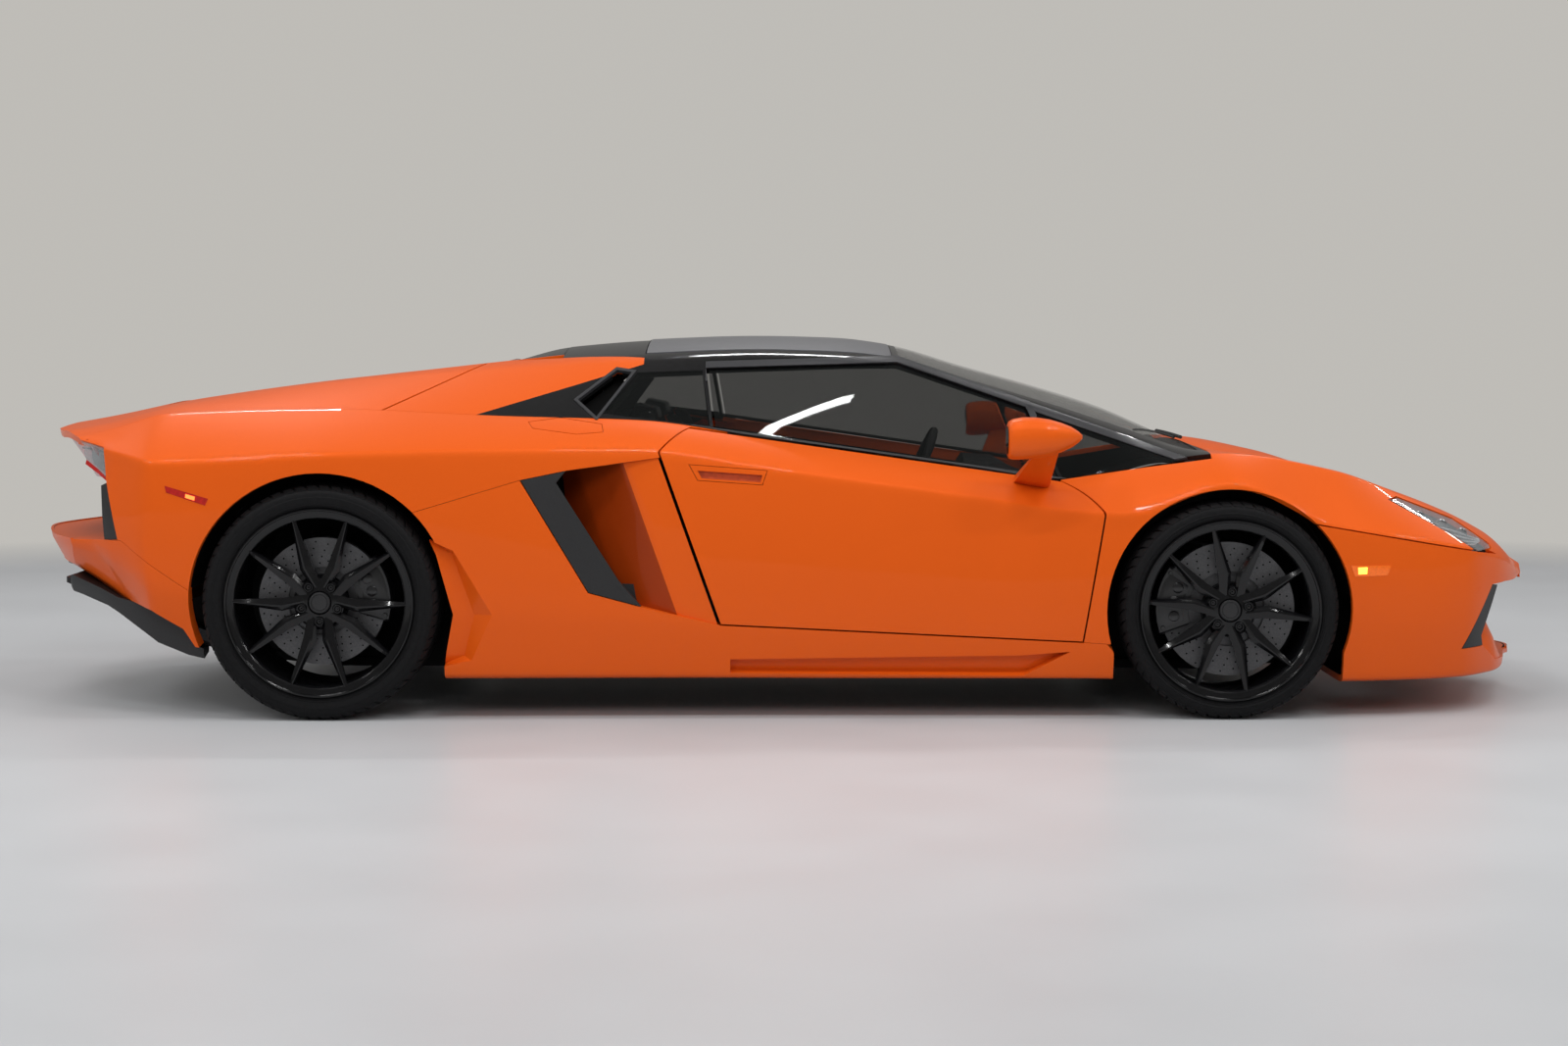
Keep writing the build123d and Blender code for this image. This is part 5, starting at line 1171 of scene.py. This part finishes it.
def build_cabin():
    """Steering wheel, instrument hood, vents, screen and wiper."""
    hub, across, rise = Vector((430, SEAT_Y, 650)), Vector((0, 1, 0)), Vector((0.375, 0, 0.927))
    normal = Vector((-0.927, 0, 0.375))
    rings = []
    for k in range(73):
        a = TAU * k / 72
        r = min(178, 158 / max(0.05, -sin(a))) if sin(a) < 0 else 178
        grip = 14 + 2.5 * max(0, cos(4 * (a - 0.55))) * (abs(sin(a)) < 0.8)
        mid = hub + across * (r * cos(a)) + rise * (r * sin(a))
        out = (mid - hub).normalized()
        rings.append([tuple(mid + out * (grip * cos(TAU * j / 12)) + normal * (grip * sin(TAU * j / 12)))
                      for j in range(12)])
    parts = [loft(rings, caps=False)]
    for angle, wide in ((0.12, 34), (pi - 0.12, 34), (-pi / 2, 46)):
        way = across * cos(angle) + rise * sin(angle)
        side = way.cross(normal)
        bars = []
        for r, w, d in ((40, wide, 12), (90, wide * 0.8, 8), (168, wide * 0.62, 5)):
            mid = hub + way * r - normal * 6
            bars.append([tuple(mid + side * w * a / 2 + normal * d * b)
                         for a, b in ((1, 1), (-1, 1), (-1, -1), (1, -1))])
        parts.append(loft(bars))
    around = [across * cos(TAU * j / 32) + rise * sin(TAU * j / 32) for j in range(32)]
    parts.append(loft([[tuple(hub + way * r + normal * d) for way in around] for r, d in (
        (0.5, 22), (26, 21), (44, 16), (56, 4), (58, -8), (40, -20), (18, -24), (18, -80), (0.5, -80))]))
    plain("steering_wheel_grip", joined(*parts), LEATHER, "steering_wheel", "steering_wheel", angle=40)
    rows = []
    for k in range(-10, 11):
        t = k / 10
        lift = 46 * (1 - t * t) ** 0.5
        y = SEAT_Y + 168 * t
        rows.append([(566, y, 690 + lift * 0.2), (590, y, 697 + lift), (690, y, 712 + lift * 0.5), (760, y, 694)])
    plain("instrument_hood", loft(rows), LEATHER)
    rows = [[(552, y, 566), (556, y, 672), (566, y, 676), (566, y, 562)] for y in (-110, -104, 104, 110)]
    plain("centre_display", loft(rows), GLOSS)
    vents = []
    for y in (-600, -200, 200, 600):
        for r in (34, 26):
            verts, faces = lathe([(r - 5, 0), (r, -4), (r + 4, 2), (r + 2, 10)], 24)
            vents.append(([(558 + vy, y + vx, 640 + vz) for vx, vy, vz in verts], faces))
    plain("dash_vents", joined(*vents), TRIM, angle=50)
    path = []
    for k in range(13):
        x, y = 1292 - 66 * k / 12, -60 + 580 * k / 12
        path.append((x - 14, y, top_z(x - 14, abs(y)) + 16))
    blade = [(x - 22, y, top_z(x - 22, abs(y)) + 7) for x, y, _ in path]
    plain("wiper_arm", joined(tube(path[:8], 6, 8), tube(blade, 4, 8)), SATIN, "wiper")


ARCH_WALL = 3.0        # thickness


def build_liners():
    """Dark walls inside the wheel arches, and the shelf in the tail."""
    for w, y in zip(WHEELS, (512, 556)):
        cz, r = (320, 380) if w.end == "front" else (345, 400)
        back, low = (100, 120) if w.end == "front" else (60, 185)
        wall = [(w.x + r * cos(radians(a)), y, cz + r * sin(radians(a))) for a in range(0, 181, 12)]
        wall = [(w.x + r + 100, y, 120), (w.x + r + 100, y, cz - 20)] + wall
        wall += [(w.x - r - back, y, cz - 20), (w.x - r - back, y, low)]
        sheet = loft([wall, [(x, y + ARCH_WALL, z) for x, y, z in wall]])
        plain(f"arch_wall_{w.end}", sheet, LINER, mirror=True)
    for name, ends, mat, slot in (("bumper_top", (-2090, -2372), PAINT, "paint"),
                                  ("bumper_recess", (-1994, -2090), SATIN, "black_trim")):
        edge = []
        for k in range(9):
            x = ends[0] + (ends[1] - ends[0]) * k / 8
            edge.append(tail_shape(x, side_y(x, 524) - 6, 524))
        rows = [[(x + 0.09 * y * (1 - c), y * c, z + 5 * (1 - c ** 4)) for c in (1, 0.97, 0.8, 0.5, 0.2, 0)]
                for x, y, z in edge]
        verts, faces = loft(rows, closed=False, caps=False)
        under = [(x, y, z - 6) for x, y, z in verts]
        faces += [tuple(v + len(verts) for v in reversed(f)) for f in faces]
        plain(name, (verts + under, faces), mat, mirror=True)


def end_faces():
    """The bumper's back and shelf, and the nose's tip, where the body's sections end."""
    rows, shelf, tip, lip = [], [], [], []
    for k in range(-16, 17):
        y = 737 * k / 16
        low = 440 + 65 * max(0, (abs(y) - 640) / 97)
        line = [tail_shape(-2389, y, z) for z in (526, 506, (506 + low) / 2, low)]
        rows.append(line + [(line[3][0] + 8, y, low), (line[0][0] + 8, y, 526)])
        shelf.append([(line[0][0] + 6, y, 523), (-2030, y, 523), (-2030, y, 518), (line[0][0] + 6, y, 518)])
    for k in range(-8, 9):
        y = 164 * k / 8
        top = 398 - 2 * min(1, abs(y) / 70) - 34 * max(0, (abs(y) - 70) / 94) ** 2
        line = [nose_shape(2389, y, z) for z in (top, (top + 362) / 2, 362)]
        tip.append(line + [(line[2][0] - 8, y, 362), (line[0][0] - 8, y, top)])
        y = 104 * k / 8
        line = [nose_shape(2389, y, z) for z in (132, 112)]
        lip.append(line + [(line[1][0] - 8, y, 112), (line[0][0] - 8, y, 132)])
    plain("end_faces", joined(loft(rows), loft(shelf), loft(tip), loft(lip)), PAINT, angle=30)


PANEL_HALF, PANEL_TOP, PANEL_FOOT, PANEL_BARS, BAR_HALF = 748, 830, 524, 8, 560


def panel_x(y, t):
    """The tail panel's face, from its top (t = 0) to its foot (1), bowed forward at its ends."""
    c = (abs(y) / PANEL_HALF) ** 3
    return -2200 + 160 * c + (210 - 148 * c) * t


def build_tail():
    """The bowed panel between the lamps, its bars, the lamps and the vanes beside it."""
    rows = []
    for y in (PANEL_HALF * k / 20 for k in range(-20, 21)):
        x0, x1 = panel_x(y, 0), panel_x(y, 1)
        rows.append([(x0, y, PANEL_TOP), (x1, y, PANEL_FOOT), (x1 + 6, y, PANEL_FOOT), (x0 + 6, y, PANEL_TOP)])
    parts = [loft(rows)]
    for j in range(1, PANEL_BARS + 1):
        t = j / (PANEL_BARS + 1)
        z = PANEL_TOP - (PANEL_TOP - PANEL_FOOT) * t
        ends = [(panel_x(y, t), y) for y in (BAR_HALF * k / 20 for k in range(-20, 21))]
        parts.append(loft([[(x - 14, y, z + 4), (x - 14, y, z - 4), (x + 4, y, z - 4), (x + 4, y, z + 4)]
                           for x, y in ends]))
    plain("tail_panel", joined(*parts), PLASTIC, "rear_grille")
    lens = [(-2164, 840), (-2157, 827), (-2054, 803), (-2042, 706), (-2118, 757)]
    data = skin(-2390, -1990, 2.4, 4.0, keep=[flank(lens)], thick=4, lift=-5, shape=tail_shape, dx=10)
    piece("tail_lamp_lens", two(data), LENS, "tail_lamps")
    data = skin(-2390, -1980, 2.4, 4.0, keep=[flank(grow(lens, 5))], thick=4, lift=-34, shape=tail_shape, dx=10)
    piece("tail_lamp_housing", two(data), LAMP_GREY)
    outline = [(-180, 425), (-160, 405), (160, 405), (180, 425), (180, 480), (160, 500), (-160, 500), (-180, 480)]
    bore = [(y * 0.92, 452.5 + (z - 452.5) * 0.72) for y, z in outline]
    rings = [[(x, y, z) for y, z in shape] for x, shape in (
        (-1912, outline), (-2306, outline), (-2316, grow(outline, -4)), (-2316, grow(bore, 3)), (-2308, bore),
        (-2060, bore))]
    plain("exhaust_outlet", loft(rings), EXHAUST, "exhaust")
    rows = []
    for k in range(9):
        y = 562 + 190 * k / 8
        x = tail_shape(-2390, y, 830)[0] + 14
        rows.append([(x, y, 826), (x + 44, y, 764), (x + 78, y, 706), (x + 96, y, 706), (x + 40, y, 826)])
    plain("tail_lamp_faces", loft(rows), RED, mirror=True)
    low = [(-2120, 764), (-2046, 716), (-2042, 704), (-2124, 752)]
    data = skin(-2390, -1990, 2.4, 4.0, keep=[flank(low)], thick=3, lift=-2, shape=tail_shape, dx=10)
    piece("tail_lamp_strip", two(data), RED)
    vane = [(-2066, 690), (-2030, 706), (-1990, 536), (-2052, 522)]
    data = skin(-2390, -1960, 2.0, 4.0, keep=[flank(vane)], thick=26, lift=-4, shape=tail_shape, dx=10)
    piece("tail_vanes", two(data), SATIN)


def build_grilles():
    """The dark strip at the back of each nose opening, the chin before it, and bars behind."""
    strip = [(2140, 384), (2034, 198), (2112, 202), (2104, 232), (2164, 382)]
    data = skin(2010, 2190, 1.0, 3.4, keep=[flank(strip)], thick=14, lift=-1, dx=8)
    rows = []
    for k in range(-2, 25):
        x = 2376 - 250 * (max(k, 0) / 24) ** 1.4
        edge = Vector(nose_shape(x, side_y(x, 128) - 1, 128))
        if k < 0:
            edge = Vector(nose_shape(2388, 55 * (k + 2), 128))
        out = ease((edge.y - 330) / 270)
        back = 130 - 88 * min(1, edge.y / 660)
        top = Vector((edge.x - back, edge.y * 0.955, 160 + 128 * out))
        mid = edge.lerp(top, 0.5) + Vector((6, 5, 2))
        rows.append([tuple(edge), tuple(mid), tuple(top), (top.x - 16, top.y * 0.985, top.z - 10),
                     (top.x - 40, top.y * 0.97, 122), (edge.x - 20, edge.y * 0.99, 118)])
    plain("chin_ramps", loft(rows), PAINT, mirror=True)
    bars = []
    ends = [(-60 * (k / 8) ** 2, 670 * k / 8) for k in range(9)]
    for z in (205, 245, 285, 325):
        front = 2030 + 70 * (z - 190) / 190
        bars.append(loft([[(front + x, y, z - 3), (front + x + 26, y, z - 1.5), (front + x + 26, y, z + 1.5),
                           (front + x, y, z + 3)] for x, y in ends]))
    back = [[(2010 + x, y, 160), (2085 + x, y, 392)] for x, y in ends]
    bars.append(loft(back, closed=False, caps=False))
    piece("intake_strips", two(data), SATIN, "front_grilles")
    plain("intake_bars", joined(*bars), PLASTIC, mirror=True)


build_panels()
build_seats()
build_cabin()
build_liners()
end_faces()
build_tail()
build_grilles()
build_wheels()
build_mirrors()
build_lamps()

# ------------------------------------------------------------------ stage
WALL = (0.52, 0.505, 0.475, 1)
SKY = (0.80, 0.79, 0.78, 1)
PHOTO_WIDTH, FOCAL_PIXELS, SENSOR = 1600, 3186, 36
CAMERA_AT, CAMERA_DOWN = (-0.010, -10.2, 1.155), 3.53


def place(obj, where, turn=(0, 0, 0)):
    obj.location, obj.rotation_euler = where, turn
    bpy.context.collection.objects.link(obj)
    return obj


def area_light(name, where, size, power, aim):
    light = bpy.data.lights.new(name, "AREA")
    light.shape, light.energy = "RECTANGLE", power
    light.size, light.size_y = size
    turn = (Vector(aim) - Vector(where)).to_track_quat("-Z", "Y").to_euler()
    return place(bpy.data.objects.new(name, light), where, turn)


def build_floor():
    """A pale floor that fades into the wall's colour far from the car."""
    mat = look("floor", (0.50, 0.51, 0.525), 0.38, spec=0.35, vary=0.03, scale=2)
    tree = mat.node_tree
    spot = new_node(tree, "NewGeometry")
    reach = new_node(tree, "VectorMath", operation="LENGTH")
    fade = new_node(tree, "MapRange", {"From Min": 6.2, "From Max": 8.0})
    far = new_node(tree, "Emission", {"Color": WALL})
    blend = new_node(tree, "MixShader")
    wire(tree, (spot, "Position", reach, 0), (reach, "Value", fade, "Value"), (fade, "Result", blend, "Fac"),
         (tree.nodes["Principled BSDF"], "BSDF", blend, 1), (far, "Emission", blend, 2),
         (blend, 0, tree.nodes["Material Output"], "Surface"))
    mesh = bpy.data.meshes.new("floor")
    mesh.from_pydata([(-30, -30, 0), (30, -30, 0), (30, 30, 0), (-30, 30, 0)], [], [(0, 1, 2, 3)])
    mesh.materials.append(mat)
    floor = place(bpy.data.objects.new("floor", mesh), (0, 0, 0))


def build_world():
    """Soft light all round; the camera, glass and, dimly, gloss see the wall's colour."""
    world = bpy.data.worlds.new("world")
    bpy.context.scene.world = world
    world.use_nodes = True
    tree = world.node_tree
    back = fill(tree.nodes["Background"], {"Color": SKY, "Strength": 0.62})
    seen = new_node(tree, "Background", {"Color": WALL, "Strength": 1.0})
    dim = new_node(tree, "Background", {"Color": SKY, "Strength": 0.12})
    path = new_node(tree, "LightPath")
    direct = new_node(tree, "Math", operation="MAXIMUM")
    mirrored = new_node(tree, "Math", {1: 0.20}, "MULTIPLY")
    share = new_node(tree, "Math", operation="MAXIMUM")
    base, mix = new_node(tree, "MixShader"), new_node(tree, "MixShader")
    wire(tree, (path, "Is Camera Ray", direct, 0), (path, "Is Transmission Ray", direct, 1),
         (path, "Is Glossy Ray", mirrored, 0), (direct, 0, share, 0), (mirrored, 0, share, 1),
         (path, "Is Glossy Ray", base, "Fac"), (back, 0, base, 1), (dim, 0, base, 2),
         (share, 0, mix, "Fac"), (base, 0, mix, 1), (seen, 0, mix, 2), (mix, 0, tree.nodes["World Output"], "Surface"))


def stage():
    build_floor()
    build_world()
    for row, (y, power) in enumerate(((-1.4, 20), (-3.4, 30), (2.6, 24))):
        for k in range(5):
            x = -5.2 + 2.6 * k
            area_light(f"tube_light_{row}_{k}", (x, y, 4.2), (1.1, 0.10), power, (x, y * 0.4, 0))
    for name, where, power in (("side_fill", (-1.0, -9.0, 4.5), 190), ("far_fill", (0.0, 9.0, 4.5), 120),
                               ("nose_fill", (9.0, -2.0, 4.0), 70), ("tail_fill", (-9.0, -1.0, 4.0), 60)):
        area_light(name, where, (7.0, 2.5), power, (0, 0, 0.4)).visible_glossy = False
    cam = bpy.data.cameras.new("camera")
    cam.sensor_width = SENSOR
    cam.lens = FOCAL_PIXELS / PHOTO_WIDTH * SENSOR
    bpy.context.scene.camera = place(bpy.data.objects.new("camera", cam), CAMERA_AT,
                                     (radians(90 - CAMERA_DOWN), 0, 0))
    bpy.context.scene.view_settings.view_transform = "Standard"


stage()

bpy.context.view_layer.update()
